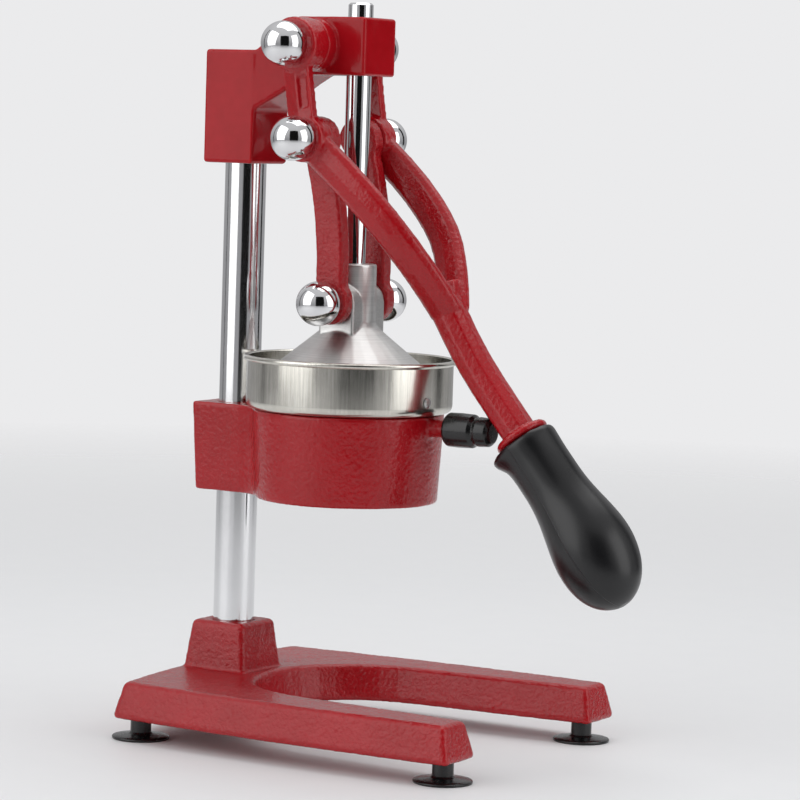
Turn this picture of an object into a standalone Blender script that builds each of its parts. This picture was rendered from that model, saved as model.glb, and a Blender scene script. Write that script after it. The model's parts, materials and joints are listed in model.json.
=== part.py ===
"""Lever press for citrus fruit: a cast stand and column, a juice bowl, and a cone pushed down by a forked lever.

Lengths are in metres. X runs from the column towards the bowl and the handle, Y across the press, Z up.
Every piece is built in the column's frame, whose origin is on the floor below the column. The last step
moves that frame, so that the world origin is below the middle of the whole press.
"""

import math

import bmesh
import bpy
from mathutils import Matrix, Vector

# Clearances
FACE_GAP = 0.0003
BORE_GAP = 0.0003

# Stand
FOOT_HEIGHT = 0.013
BASE_HEIGHT = 0.022
BASE_DRAFT = 0.0050
BASE_FRONT_X = 0.2075
BASE_REAR_X = -0.0155
BASE_REAR_HALF_WIDTH = 0.0940
BASE_FRONT_HALF_WIDTH = 0.0995
BASE_SIDE_BULGE = 0.004
BASE_REAR_BULGE = 0.010
LEG_WIDTH = 0.0250
LEG_GAP_RADIUS = 0.0665
LEG_GAP_REAR_X = 0.0285
BASE_CORNER_RADIUS = 0.003
CASTING_EDGE_RADIUS = 0.0018

# Feet
FOOT_DISC_RADIUS = 0.0173
FOOT_DISC_THICKNESS = 0.0028
FOOT_STEM_RADIUS = 0.0062
FOOT_REAR_INSET = 0.0050
FOOT_REAR_SIDE_INSET = 0.0120
FOOT_FRONT_INSET = 0.0080
FOOT_FRONT_SIDE_INSET = 0.0145
FOOT_SCREW_RADIUS = 0.0025
FOOT_SCREW_HEAD_RADIUS = 0.0045
FOOT_SCREW_HEAD_HEIGHT = 0.0026
FOOT_SCREW_DEPTH = 0.013

# Column and its socket
COLUMN_RADIUS = 0.0125
COLUMN_CHAMFER = 0.001
SOCKET_TOP_Z = 0.0643
SOCKET_WALL = 0.0062
SOCKET_FLARE = 0.0038
SOCKET_FLOOR = 0.005
SOCKET_EDGE_RADIUS = 0.0022
BOLT_RADIUS = 0.004
BOLT_HEAD_FLATS = 0.013
BOLT_HEAD_HEIGHT = 0.0053
BOLT_GRIP_IN_COLUMN = 0.024
BOLT_RECESS_RADIUS = 0.011
BOLT_RECESS_DEPTH = 0.004
WASHER_RADIUS = 0.009
WASHER_THICKNESS = 0.0016

# Head
HEAD_FOOT_Z = 0.3442
HEAD_BLOCK_HEIGHT = 0.0685
HEAD_REAR_WALL = 0.0059
HEAD_FRONT_WALL = 0.0038
HEAD_SIDE_WALL = 0.0075
HEAD_ROOF = 0.016
HEAD_NOSE_HALF_WIDTH = 0.01825
HEAD_NOSE_HEIGHT = 0.0346
HEAD_NOSE_DEPTH = 0.026
HEAD_NOSE_REACH = 0.0142
HEAD_WEB_HALF_WIDTH = 0.0145
HEAD_WEB_FOOT_RISE = 0.0325
HEAD_EDGE_RADIUS = 0.0022
HEAD_BOSS_RADIUS = 0.0155
HEAD_BOSS_STEP = 0.0026

# Pivots, seen from the side
UPPER_PIVOT_RISE = 0.0718
UPPER_PIVOT_SETBACK = 0.0201
CRANK_STEP_X = 0.0081
CRANK_STEP_Z = 0.0552
LINK_DROP = 0.0970
COLUMN_CLEARANCE = 0.0019
LEVER_TRAVEL = math.radians(115)

# Rod and press cone
ROD_RADIUS = 0.0075
ROD_RISE = 0.1782
ROD_CHAMFER = 0.0012
HUB_WALL = 0.0067
HUB_RISE = 0.0232
HUB_BORE_DEPTH = 0.0355
CONE_RISE = 0.81
CONE_RIM_GAP = 0.0112
CONE_RIM_DROP = 0.0478
CONE_RIM_HEIGHT = 0.0045
CONE_WALL = 0.006
EAR_HALF_LENGTH = 0.0120
EAR_STEP = 0.0043
CROSS_PIN_RADIUS = 0.004

# Pivot pins and ball nuts
PIVOT_PIN_RADIUS = 0.005
BALL_RADIUS = 0.0133
BALL_SEAT_OFFSET = 0.0088

# Links
LINK_GAP = 0.0008
LINK_THICKNESS = 0.0105
LINK_FOOT_THICKNESS = 0.0100
LINK_HALF_WIDTH = 0.0092
LINK_EYE_RADIUS = 0.0132
LINK_BOW = 0.0048
LINK_EDGE_RADIUS = 0.0014

# Lever
MIDDLE_EYE_THICKNESS = 0.0141
MIDDLE_EYE_RADIUS = 0.0142
UPPER_EYE_THICKNESS = 0.0170
UPPER_EYE_RADIUS = 0.0162
CRANK_THICKNESS = 0.0064
CRANK_REAR = 0.0102
CRANK_FRONT = 0.0086
CRANK_INSET = 0.0010
PANEL_REAR = 0.0015
PANEL_FRONT = 0.0015
PANEL_DEPTH = 0.0013
ARM_THICKNESS = 0.0122
ARM_HALF_HEIGHT = 0.0102
ARM_SPREAD = 0.0125
ARM_ARCH = 0.0100
BAR_THICKNESS = 0.0215
BAR_HALF_HEIGHT = 0.0100
BAR_SAG = 0.0026
ARM_STEP_X = 0.0775
ARM_STEP_Z = 0.0968
BAR_STEP_X = 0.0517
BAR_STEP_Z = 0.0709
HANDLE_PITCH = math.radians(51.5)
COLLAR_RADIUS = 0.0166
COLLAR_THICKNESS = 0.0050
TANG_RADIUS = 0.0065
TANG_LENGTH = 0.062

# Grip
GRIP_LENGTH = 0.1135
GRIP_NECK_RADIUS = 0.0190
GRIP_WAIST_RADIUS = 0.0183
GRIP_BULB_RADIUS = 0.0253
GRIP_LIP_REACH = 0.0060
GRIP_BEND = -0.0012
GRIP_DROOP = 0.0020

# Bowl, strainer, reamer and funnel
BOWL_RADIUS = 0.0622
BOWL_RIM_REACH = 0.0019
BOWL_HEIGHT = 0.0322
BOWL_CORNER_RADIUS = 0.0055
BOWL_FLOOR_WIDTH = 0.0222
BOWL_OUTLET_DROP = 0.0085
SHEET = 0.0012
STRAINER_LIFT = 0.0008
STRAINER_CORNER = 0.0032
STRAINER_FLANGE_MARGIN = 0.0010
STRAINER_HOLES = 12
STRAINER_HOLE_RADIUS = 0.0026
STRAINER_HOLE_INSET = 0.0125
RIVET_RADIUS = 0.0016
RIVET_HEAD_RADIUS = 0.0033
RIVET_HEAD_HEIGHT = 0.0012
RIVET_BEARING = math.radians(-11)
REAMER_INSET = 0.0095
REAMER_SKIRT = 0.0140
REAMER_ROOM = 0.00681
REAMER_RIBS = 9
REAMER_RIB_DEPTH = 0.0016
REAMER_SCREW_RADIUS = 0.0025
FUNNEL_OUTLET_RADIUS = 0.0125
FUNNEL_SPOUT = 0.008

# Tray
TRAY_DROP = 0.0175
TRAY_HEIGHT = 0.0537
TRAY_INSET = 0.0047
TRAY_WALL = 0.0065
TRAY_LEDGE = 0.0020
TRAY_SEAT_DEPTH = 0.0022
TRAY_REAR_WALL = 0.0095
TRAY_SIDE_WALL = 0.0080
TRAY_CLAMP_FRONT_X = 0.0080
TRAY_DRAFT = 0.0028
TRAY_EDGE_RADIUS = 0.0014
STOP_DROP = 0.0065
STOP_RADIUS = 0.0055
STOP_END_INSET = 0.0219
BUMPER_RADIUS = 0.0103
BUMPER_NOSE_RADIUS = 0.0086
BUMPER_START = 0.0115
BUMPER_CAP = 0.0040
SET_SCREW_RADIUS = 0.0036
SET_SCREW_SOCKET = 0.0018

# Working positions
ROD_X = COLUMN_RADIUS + COLUMN_CLEARANCE + BOWL_RIM_REACH + BOWL_RADIUS
UPPER_PIVOT = (ROD_X - UPPER_PIVOT_SETBACK, HEAD_FOOT_Z + UPPER_PIVOT_RISE)
MIDDLE_PIVOT = (UPPER_PIVOT[0] + CRANK_STEP_X, UPPER_PIVOT[1] - CRANK_STEP_Z)
CROSS_PIN_Z = MIDDLE_PIVOT[1] - LINK_DROP
CROTCH = (MIDDLE_PIVOT[0] + ARM_STEP_X, MIDDLE_PIVOT[1] - ARM_STEP_Z)
BAR_FOOT = (CROTCH[0] + BAR_STEP_X, CROTCH[1] - BAR_STEP_Z)
ROD_TOP_Z = CROSS_PIN_Z + ROD_RISE
HUB_TOP_Z = CROSS_PIN_Z + HUB_RISE
CONE_RIM_Z = CROSS_PIN_Z - CONE_RIM_DROP
CONE_RIM_RADIUS = BOWL_RADIUS - CONE_RIM_GAP
HUB_RADIUS = ROD_RADIUS + HUB_WALL
EAR_REACH = HUB_RADIUS + EAR_STEP
LINK_INNER_Y = EAR_REACH + LINK_GAP
LEG_GAP_HALF_WIDTH = BASE_FRONT_HALF_WIDTH - LEG_WIDTH
FOOT_REAR_X = BASE_REAR_X + FOOT_REAR_INSET
FOOT_REAR_Y = BASE_REAR_HALF_WIDTH - FOOT_REAR_SIDE_INSET
FOOT_FRONT_X = BASE_FRONT_X - FOOT_FRONT_INSET
FOOT_FRONT_Y = BASE_FRONT_HALF_WIDTH - FOOT_FRONT_SIDE_INSET
SOCKET_TOP_HALF = COLUMN_RADIUS + SOCKET_WALL
SOCKET_FOOT_HALF = SOCKET_TOP_HALF + SOCKET_FLARE
HEAD_REAR_X = -COLUMN_RADIUS - HEAD_REAR_WALL
HEAD_BLOCK_FRONT_X = COLUMN_RADIUS + HEAD_FRONT_WALL
HEAD_BLOCK_HALF_WIDTH = COLUMN_RADIUS + HEAD_SIDE_WALL
TRAY_TOP_Z = CONE_RIM_Z - TRAY_DROP
TRAY_RING_RADIUS = BOWL_RADIUS - TRAY_INSET
TRAY_BORE_RADIUS = TRAY_RING_RADIUS - TRAY_WALL
TRAY_SEAT_RADIUS = TRAY_BORE_RADIUS + TRAY_LEDGE
TRAY_REAR_X = -COLUMN_RADIUS - TRAY_REAR_WALL
TRAY_CLAMP_HALF_WIDTH = COLUMN_RADIUS + TRAY_SIDE_WALL
STOP_Z = TRAY_TOP_Z - STOP_DROP
BASE_BOTTOM_Z = FOOT_HEIGHT
BASE_TOP_Z = FOOT_HEIGHT + BASE_HEIGHT
SOCKET_FLOOR_Z = BASE_BOTTOM_Z + BOLT_RECESS_DEPTH + SOCKET_FLOOR
COLUMN_FOOT_Z = SOCKET_FLOOR_Z + FACE_GAP
HEAD_TOP_Z = HEAD_FOOT_Z + HEAD_BLOCK_HEIGHT
COLUMN_TOP_Z = HEAD_TOP_Z - HEAD_ROOF
NOSE_TOP_Z = UPPER_PIVOT[1] + HEAD_NOSE_HEIGHT / 2
NOSE_FOOT_Z = UPPER_PIVOT[1] - HEAD_NOSE_HEIGHT / 2
NOSE_FRONT_X = ROD_X + HEAD_NOSE_REACH
NOSE_REAR_X = NOSE_FRONT_X - HEAD_NOSE_DEPTH
TRAY_FOOT_Z = TRAY_TOP_Z - TRAY_HEIGHT
TRAY_SEAT_Z = TRAY_TOP_Z - TRAY_SEAT_DEPTH
BOWL_FOOT_Z = TRAY_TOP_Z + FACE_GAP
BOWL_FLOOR_Z = BOWL_FOOT_Z + SHEET
BOWL_RIM_Z = BOWL_FOOT_Z + BOWL_HEIGHT
BOWL_INNER_RADIUS = BOWL_RADIUS - SHEET
BOWL_OUTLET_RADIUS = BOWL_RADIUS - BOWL_FLOOR_WIDTH
STRAINER_HOLE_CIRCLE = BOWL_INNER_RADIUS - STRAINER_HOLE_INSET
REAMER_RADIUS = STRAINER_HOLE_CIRCLE - REAMER_INSET
REAMER_HEIGHT = CONE_RIM_RADIUS * CONE_RISE - REAMER_ROOM
STRAINER_Z = BOWL_FLOOR_Z + STRAINER_LIFT
STRAINER_RADIUS = BOWL_INNER_RADIUS - FACE_GAP
RIVET_Z = STRAINER_Z + STRAINER_CORNER + RIVET_HEAD_RADIUS + FACE_GAP
STRAINER_TOP_Z = RIVET_Z + RIVET_HEAD_RADIUS + STRAINER_FLANGE_MARGIN
REAMER_FOOT_Z = STRAINER_Z + SHEET + FACE_GAP
LINK_OUTER_Y = LINK_INNER_Y + LINK_THICKNESS
HEAD_BOSS_REACH = LINK_OUTER_Y - HEAD_BOSS_STEP
LINK_FOOT_OUTER_Y = LINK_INNER_Y + LINK_FOOT_THICKNESS
MIDDLE_EYE_INNER_Y = LINK_OUTER_Y + FACE_GAP
MIDDLE_EYE_OUTER_Y = MIDDLE_EYE_INNER_Y + MIDDLE_EYE_THICKNESS
UPPER_EYE_INNER_Y = HEAD_BOSS_REACH + FACE_GAP
UPPER_EYE_OUTER_Y = UPPER_EYE_INNER_Y + UPPER_EYE_THICKNESS
BUMPER_START_X = ROD_X + TRAY_RING_RADIUS + BUMPER_START
STOP_END_X = BAR_FOOT[0] - STOP_END_INSET
PIN_BORE_RADIUS = PIVOT_PIN_RADIUS + BORE_GAP
ROD_AXIS = Vector((ROD_X, 0, 0))
SIDES = (("left", -1), ("right", 1))

# Smoothness of round shapes, in flats per turn
FINE = 32
ROUND = 24
SMALL = 16
TINY = 10


# Points and outlines


def side_point(pivot, y=0.0):
    """A point from its place in the side view, (x, z)."""
    return Vector((pivot[0], y, pivot[1]))


def arc(centre, radius, start, end, steps):
    """Points on a circle's arc in a plane, both ends included. Angles are in degrees."""
    points = []
    for step in range(steps + 1):
        angle = math.radians(start + (end - start) * step / steps)
        points.append((centre[0] + radius * math.cos(angle), centre[1] + radius * math.sin(angle)))
    return points


def quadratic(start, control, end, steps):
    """Points on a quadratic curve between two points, both ends left out."""
    points = []
    for step in range(1, steps):
        t = step / steps
        weights = ((1 - t) ** 2, 2 * t * (1 - t), t**2)
        points.append(tuple(sum(w * p[i] for w, p in zip(weights, (start, control, end))) for i in (0, 1)))
    return points


def with_round_corners(points, corners, radius, steps=3):
    """The outline with the corners named by index replaced by short curves."""
    outline = []
    for index, point in enumerate(points):
        if index not in corners:
            outline.append(point)
            continue
        here = Vector(point)
        before = Vector(points[index - 1]) - here
        after = Vector(points[(index + 1) % len(points)]) - here
        start = here + before.normalized() * radius
        end = here + after.normalized() * radius
        outline += [tuple(start), *quadratic(start, here, end, steps), tuple(end)]
    return outline


def smooth_step(t):
    t = min(max(t, 0.0), 1.0)
    return t * t * (3 - 2 * t)


def spline(points, steps):
    """Points on a smooth curve through the given 3-D points, with the given number of steps in each stretch."""
    ends = [points[0] * 2 - points[1], *points, points[-1] * 2 - points[-2]]
    curve = []
    for p0, p1, p2, p3 in zip(ends, ends[1:], ends[2:], ends[3:]):
        for step in range(steps):
            t = step / steps
            curve.append(
                0.5 * (2 * p1 + (p2 - p0) * t + (2 * p0 - 5 * p1 + 4 * p2 - p3) * t**2)
                + 0.5 * (3 * p1 - p0 - 3 * p2 + p3) * t**3
            )
    return [*curve, points[-1]]


# Meshes


def lofted(rings):
    """A closed mesh through rings of equally many points, with flat ends."""
    mesh = bmesh.new()
    loops = [[mesh.verts.new(point) for point in ring] for ring in rings]
    for low, high in zip(loops, loops[1:]):
        for i in range(len(low)):
            j = (i + 1) % len(low)
            mesh.faces.new((low[i], low[j], high[j], high[i]))
    mesh.faces.new(loops[0])
    mesh.faces.new(loops[-1])
    bmesh.ops.recalc_face_normals(mesh, faces=mesh.faces)
    return mesh


def turned(profile, flats, centre=(0, 0, 0), axis=(0, 0, 1), turn=0.0):
    """A closed mesh from a closed profile of (radius, height) points turned about an axis through the centre."""
    mesh = bmesh.new()
    rings = []
    for radius, height in profile:
        if radius == 0:
            rings.append([mesh.verts.new((0, 0, height))] * flats)
            continue
        angles = [turn + math.tau * i / flats for i in range(flats)]
        rings.append([mesh.verts.new((radius * math.cos(a), radius * math.sin(a), height)) for a in angles])
    for index, high in enumerate(rings):
        low = rings[(index + 1) % len(rings)]
        for i in range(flats):
            j = (i + 1) % flats
            corners = list(dict.fromkeys((high[i], low[i], low[j], high[j])))
            if len(corners) > 2:
                mesh.faces.new(corners)
    bmesh.ops.recalc_face_normals(mesh, faces=mesh.faces)
    place = Matrix.Translation(centre) @ Vector((0, 0, 1)).rotation_difference(Vector(axis)).to_matrix().to_4x4()
    bmesh.ops.transform(mesh, matrix=place, verts=mesh.verts)
    return mesh


def rod_between(start, end, radius, flats=SMALL):
    """A plain cylinder between two points."""
    axis = Vector(end) - Vector(start)
    profile = [(0, axis.length), (radius, axis.length), (radius, 0), (0, 0)]
    return turned(profile, flats, start, axis.normalized())


def ring_at(outline, z):
    return [Vector((x, y, z)) for x, y in outline]


# Objects


def finish(name, colour, roughness, metallic=0.0, coat=0.0):
    material = bpy.data.materials.new(name)
    material.use_nodes = True
    shader = material.node_tree.nodes["Principled BSDF"]
    shader.inputs["Base Color"].default_value = (*colour, 1)
    shader.inputs["Roughness"].default_value = roughness
    shader.inputs["Metallic"].default_value = metallic
    shader.inputs["Coat Weight"].default_value = coat
    return material


def empty(name, location, parent=None):
    mount = bpy.data.objects.new(name, None)
    mount.location = location
    mount.parent = parent
    bpy.context.collection.objects.link(mount)
    return mount


def add_mesh(name, mesh, mount, place):
    """An object whose mesh was built in the column's frame, hung on an empty that stands at the given place."""
    data = bpy.data.meshes.new(name)
    mesh.to_mesh(data)
    mesh.free()
    data.transform(Matrix.Translation(-Vector(place)))
    data.shade_smooth()
    data.set_sharp_from_angle(angle=math.radians(35))
    obj = bpy.data.objects.new(name, data)
    obj.parent = mount
    bpy.context.collection.objects.link(obj)
    return obj


class Builder:
    """Adds pieces to one moving body. Its empty is on the body's joint axis."""

    def __init__(self, name, place, root):
        self.place = Vector(place)
        self.mount = empty(name, place, root)

    def helper(self, name, mesh):
        obj = add_mesh(name, mesh, self.mount, self.place)
        obj.hide_render = True
        obj.display_type = "WIRE"
        return obj

    def piece(self, name, mesh, material, edge=0.0, edge_steps=1, added=(), removed=()):
        """One piece: a mesh with its edges rounded, then joined with some meshes and cut by others."""
        obj = add_mesh(name, mesh, self.mount, self.place)
        obj.data.materials.append(material)
        if edge:
            round_edges(obj, edge, edge_steps)
        for operation, meshes in (("UNION", added), ("DIFFERENCE", removed)):
            for number, (helper_mesh, helper_edge) in enumerate(meshes, 1):
                helper = self.helper(f"{name}_{operation.lower()}_{number}", helper_mesh)
                if helper_edge:
                    round_edges(helper, helper_edge)
                modifier = obj.modifiers.new(helper.name, "BOOLEAN")
                modifier.operation = operation
                modifier.object = helper
        return obj


def round_edges(obj, radius, segments=1):
    bevel = obj.modifiers.new("edge", "BEVEL")
    bevel.width = radius
    bevel.segments = segments
    bevel.limit_method = "ANGLE"
    bevel.angle_limit = math.radians(32)


def plain(*meshes):
    """Meshes that join or cut with sharp edges."""
    return [(mesh, 0.0) for mesh in meshes]


# Fasteners


def ball_nut(side, centre_y, pivot, bore_end_y, bore=PIN_BORE_RADIUS):
    """A ball with a flat seat towards the pivot and a blind bore, centred on the pivot's axis."""
    seat = math.degrees(math.acos(BALL_SEAT_OFFSET / BALL_RADIUS))
    outer = arc((0, 0), BALL_RADIUS, 90, -90 + seat, 7)
    outer[0] = (0, BALL_RADIUS)
    depth = bore_end_y - centre_y
    profile = [*outer, (bore, outer[-1][1]), (bore, depth), (0, depth)]
    return turned(profile, SMALL, side_point(pivot, side * centre_y), (0, side, 0))


def ball_centre_y(seat_y):
    return seat_y + FACE_GAP + BALL_SEAT_OFFSET


def headed_screw(centre, axis, head_radius, head_height, radius, length, flats=TINY):
    """A screw whose head starts at the centre and whose shank points along the axis."""
    end = head_height + length
    profile = [(0, end), (radius * 0.7, end), (radius, end - radius * 0.3)]
    profile += [(radius, head_height), (head_radius, head_height), (head_radius, 0.0006)]
    profile += [(head_radius * 0.85, 0), (0, 0)]
    return turned(profile, flats, centre, axis)


def hexagon_screw(centre, flats_across, head_height, radius, length):
    """A screw with a six-sided head, pointing up. Its head is lofted through rings of 24 points."""

    def ring(distance, z):
        points = []
        for step in range(24):
            angle = math.tau * step / 24
            points.append(Vector((distance(angle) * math.cos(angle), distance(angle) * math.sin(angle), z)))
        return points

    def hexagon(angle):
        return flats_across / 2 / math.cos((angle + math.pi / 6) % (math.pi / 3) - math.pi / 6)

    def circle(angle):
        return radius

    heights = ((hexagon, 0), (hexagon, head_height), (circle, head_height), (circle, head_height + length))
    mesh = lofted([ring(shape, z) for shape, z in heights])
    bmesh.ops.transform(mesh, matrix=Matrix.Translation(centre), verts=mesh.verts)
    return mesh


def set_screw(start, length):
    """A headless screw pointing along +X, with a six-sided socket in its rear end."""
    socket = min(0.003, length / 2)
    profile = [(0, length), (SET_SCREW_RADIUS * 0.7, length), (SET_SCREW_RADIUS, length * 0.8)]
    profile += [(SET_SCREW_RADIUS, 0), (SET_SCREW_SOCKET, 0), (SET_SCREW_SOCKET, socket), (0, socket)]
    return turned(profile, TINY, start, (1, 0, 0))


# Stand


def base_outline(spread):
    """The horseshoe in plan, spread outwards from the size of its top."""
    front = BASE_FRONT_X + spread
    rear = BASE_REAR_X - spread
    gap_radius = LEG_GAP_RADIUS - spread
    gap_centre = (LEG_GAP_REAR_X + LEG_GAP_RADIUS, 0)

    def bowed(start, end, push, steps):
        points = []
        for step in range(1, steps):
            t = step / steps
            x, y = (a + (b - a) * t for a, b in zip(start, end))
            points.append((x + push[0] * 4 * t * (1 - t), y + push[1] * 4 * t * (1 - t)))
        return points

    front_outer = (front, BASE_FRONT_HALF_WIDTH + spread)
    rear_outer = (rear, BASE_REAR_HALF_WIDTH + spread)
    rear_left = (rear, -rear_outer[1])
    front_left = (front, -front_outer[1])
    points = [(front, LEG_GAP_HALF_WIDTH - spread), front_outer]
    points += bowed(front_outer, rear_outer, (0, BASE_SIDE_BULGE), 5)
    corners = [0, 1, len(points)]
    points.append(rear_outer)
    points += bowed(rear_outer, rear_left, (-BASE_REAR_BULGE, 0), 6)
    corners.append(len(points))
    points.append(rear_left)
    points += bowed(rear_left, front_left, (0, -BASE_SIDE_BULGE), 5)
    corners += [len(points), len(points) + 1]
    points += [front_left, (front, -LEG_GAP_HALF_WIDTH + spread)]
    points += arc(gap_centre, gap_radius, -90, -270, 16)
    return with_round_corners(points, corners, BASE_CORNER_RADIUS)


def square(half, z):
    return [Vector((x * half, y * half, z)) for x, y in ((1, 1), (-1, 1), (-1, -1), (1, -1))]


def foot_places():
    """(name, x, y) of the four feet."""
    places = []
    for side, sign in SIDES:
        places.append((f"rear_{side}", FOOT_REAR_X, sign * FOOT_REAR_Y))
        places.append((f"front_{side}", FOOT_FRONT_X, sign * FOOT_FRONT_Y))
    return places


def build_base(body, enamel):
    rings = [ring_at(base_outline(BASE_DRAFT), BASE_BOTTOM_Z), ring_at(base_outline(0), BASE_TOP_Z)]
    socket = lofted([square(SOCKET_FOOT_HALF, BASE_TOP_Z - 0.003), square(SOCKET_TOP_HALF, SOCKET_TOP_Z)])
    under = BASE_BOTTOM_Z - 0.001
    column_bore = rod_between((0, 0, SOCKET_FLOOR_Z), (0, 0, SOCKET_TOP_Z + 0.001), COLUMN_RADIUS + BORE_GAP, ROUND)
    bolt_hole = rod_between((0, 0, under), (0, 0, SOCKET_FLOOR_Z + 0.001), BOLT_RADIUS + BORE_GAP)
    recess = rod_between((0, 0, under), (0, 0, BASE_BOTTOM_Z + BOLT_RECESS_DEPTH), BOLT_RECESS_RADIUS)
    cuts = [column_bore, bolt_hole, recess]
    for _name, x, y in foot_places():
        top = (x, y, BASE_BOTTOM_Z + FOOT_SCREW_DEPTH + 0.001)
        cuts.append(rod_between((x, y, under), top, FOOT_SCREW_RADIUS + BORE_GAP, TINY))
    body.piece(
        "base_casting",
        lofted(rings),
        enamel,
        CASTING_EDGE_RADIUS,
        added=[(socket, SOCKET_EDGE_RADIUS)],
        removed=plain(*cuts),
    )


def build_feet(body, rubber, steel):
    """Each foot is a rubber disc on a stem. Its screw head is sunk in the disc, clear of the floor."""
    head_z = 0.001
    recess_z = head_z + FOOT_SCREW_HEAD_HEIGHT + FACE_GAP
    bore = FOOT_SCREW_RADIUS + BORE_GAP
    recess = FOOT_SCREW_HEAD_RADIUS + BORE_GAP
    top = FOOT_HEIGHT - FACE_GAP
    profile = [(bore, top), (FOOT_STEM_RADIUS, top), (FOOT_STEM_RADIUS, recess_z + 0.0015)]
    profile += [(FOOT_STEM_RADIUS + 0.002, FOOT_DISC_THICKNESS + 0.0004)]
    profile += [(FOOT_DISC_RADIUS, FOOT_DISC_THICKNESS), (FOOT_DISC_RADIUS, 0.0008)]
    profile += [(FOOT_DISC_RADIUS - 0.0008, 0), (recess, 0), (recess, recess_z), (bore, recess_z)]
    for name, x, y in foot_places():
        body.piece(f"foot_{name}", turned(profile, SMALL, (x, y, 0)), rubber)
        length = FOOT_HEIGHT + FOOT_SCREW_DEPTH - head_z - FOOT_SCREW_HEAD_HEIGHT
        screw = headed_screw(
            (x, y, head_z), (0, 0, 1), FOOT_SCREW_HEAD_RADIUS, FOOT_SCREW_HEAD_HEIGHT, FOOT_SCREW_RADIUS, length
        )
        body.piece(f"foot_screw_{name}", screw, steel)


def build_column(body, chrome, steel):
    hole = BOLT_RADIUS + BORE_GAP
    hole_top = COLUMN_FOOT_Z + BOLT_GRIP_IN_COLUMN + 0.003
    inner = COLUMN_RADIUS - COLUMN_CHAMFER
    profile = [(0, COLUMN_TOP_Z), (inner, COLUMN_TOP_Z), (COLUMN_RADIUS, COLUMN_TOP_Z - COLUMN_CHAMFER)]
    profile += [(COLUMN_RADIUS, COLUMN_FOOT_Z + COLUMN_CHAMFER), (inner, COLUMN_FOOT_Z)]
    profile += [(hole, COLUMN_FOOT_Z), (hole, hole_top), (0, hole_top)]
    body.piece("column", turned(profile, ROUND), chrome)
    washer_top = BASE_BOTTOM_Z + BOLT_RECESS_DEPTH - FACE_GAP
    washer_foot = washer_top - WASHER_THICKNESS
    washer = [(hole, washer_top), (WASHER_RADIUS, washer_top), (WASHER_RADIUS, washer_foot), (hole, washer_foot)]
    body.piece("column_washer", turned(washer, SMALL), steel)
    head_z = washer_foot - FACE_GAP - BOLT_HEAD_HEIGHT
    length = COLUMN_FOOT_Z + BOLT_GRIP_IN_COLUMN - head_z - BOLT_HEAD_HEIGHT
    bolt = hexagon_screw((0, 0, head_z), BOLT_HEAD_FLATS, BOLT_HEAD_HEIGHT, BOLT_RADIUS, length)
    body.piece("column_bolt", bolt, steel)


# Head


def head_section(x, foot_z, top_z, half_width):
    corners = ((-1, foot_z), (1, foot_z), (1, top_z), (-1, top_z))
    return [Vector((x, side * half_width, z)) for side, z in corners]


def build_head(body, enamel, steel):
    """A block clamped on the column, a rising web, and a nose that guides the rod."""
    web_foot_z = HEAD_FOOT_Z + HEAD_WEB_FOOT_RISE
    web_end_x = UPPER_PIVOT[0] - HEAD_BOSS_RADIUS * 0.5
    rings = [
        head_section(HEAD_REAR_X, HEAD_FOOT_Z, HEAD_TOP_Z, HEAD_BLOCK_HALF_WIDTH),
        head_section(HEAD_BLOCK_FRONT_X, HEAD_FOOT_Z, HEAD_TOP_Z, HEAD_BLOCK_HALF_WIDTH),
        head_section(HEAD_BLOCK_FRONT_X + 0.0008, web_foot_z, HEAD_TOP_Z + 0.0004, HEAD_BLOCK_HALF_WIDTH - 0.0006),
        head_section(web_end_x - 0.008, NOSE_FOOT_Z - 0.006, NOSE_TOP_Z, HEAD_WEB_HALF_WIDTH),
        head_section(web_end_x + 0.002, NOSE_FOOT_Z, NOSE_TOP_Z, HEAD_WEB_HALF_WIDTH),
        head_section(NOSE_REAR_X, NOSE_FOOT_Z, NOSE_TOP_Z, HEAD_NOSE_HALF_WIDTH),
        head_section(NOSE_FRONT_X, NOSE_FOOT_Z, NOSE_TOP_Z, HEAD_NOSE_HALF_WIDTH),
    ]
    pivot_left = side_point(UPPER_PIVOT, -HEAD_BOSS_REACH)
    pivot_right = side_point(UPPER_PIVOT, HEAD_BOSS_REACH)
    boss = rod_between(pivot_left, pivot_right, HEAD_BOSS_RADIUS, ROUND)
    across = Vector((0, 0.001, 0))
    shaft_bore = rod_between(pivot_left - across, pivot_right + across, PIN_BORE_RADIUS)
    bore_top = COLUMN_TOP_Z + FACE_GAP
    column_bore = rod_between((0, 0, HEAD_FOOT_Z - 0.001), (0, 0, bore_top), COLUMN_RADIUS + BORE_GAP, ROUND)
    rod_foot = ROD_AXIS + Vector((0, 0, NOSE_FOOT_Z - 0.001))
    rod_bore = rod_between(rod_foot, ROD_AXIS + Vector((0, 0, NOSE_TOP_Z + 0.001)), ROD_RADIUS + BORE_GAP, ROUND)
    screw_z = HEAD_FOOT_Z + HEAD_BLOCK_HEIGHT / 3
    screw_hole = rod_between((HEAD_REAR_X - 0.001, 0, screw_z), (0, 0, screw_z), SET_SCREW_RADIUS + BORE_GAP, TINY)
    body.piece(
        "head_casting",
        lofted(rings),
        enamel,
        HEAD_EDGE_RADIUS,
        added=[(boss, 0.0008)],
        removed=plain(shaft_bore, column_bore, rod_bore, screw_hole),
    )
    start_x = HEAD_REAR_X + 0.0004
    length = -COLUMN_RADIUS - FACE_GAP - start_x
    body.piece("head_set_screw", set_screw((start_x, 0, screw_z), length), steel)


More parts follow.
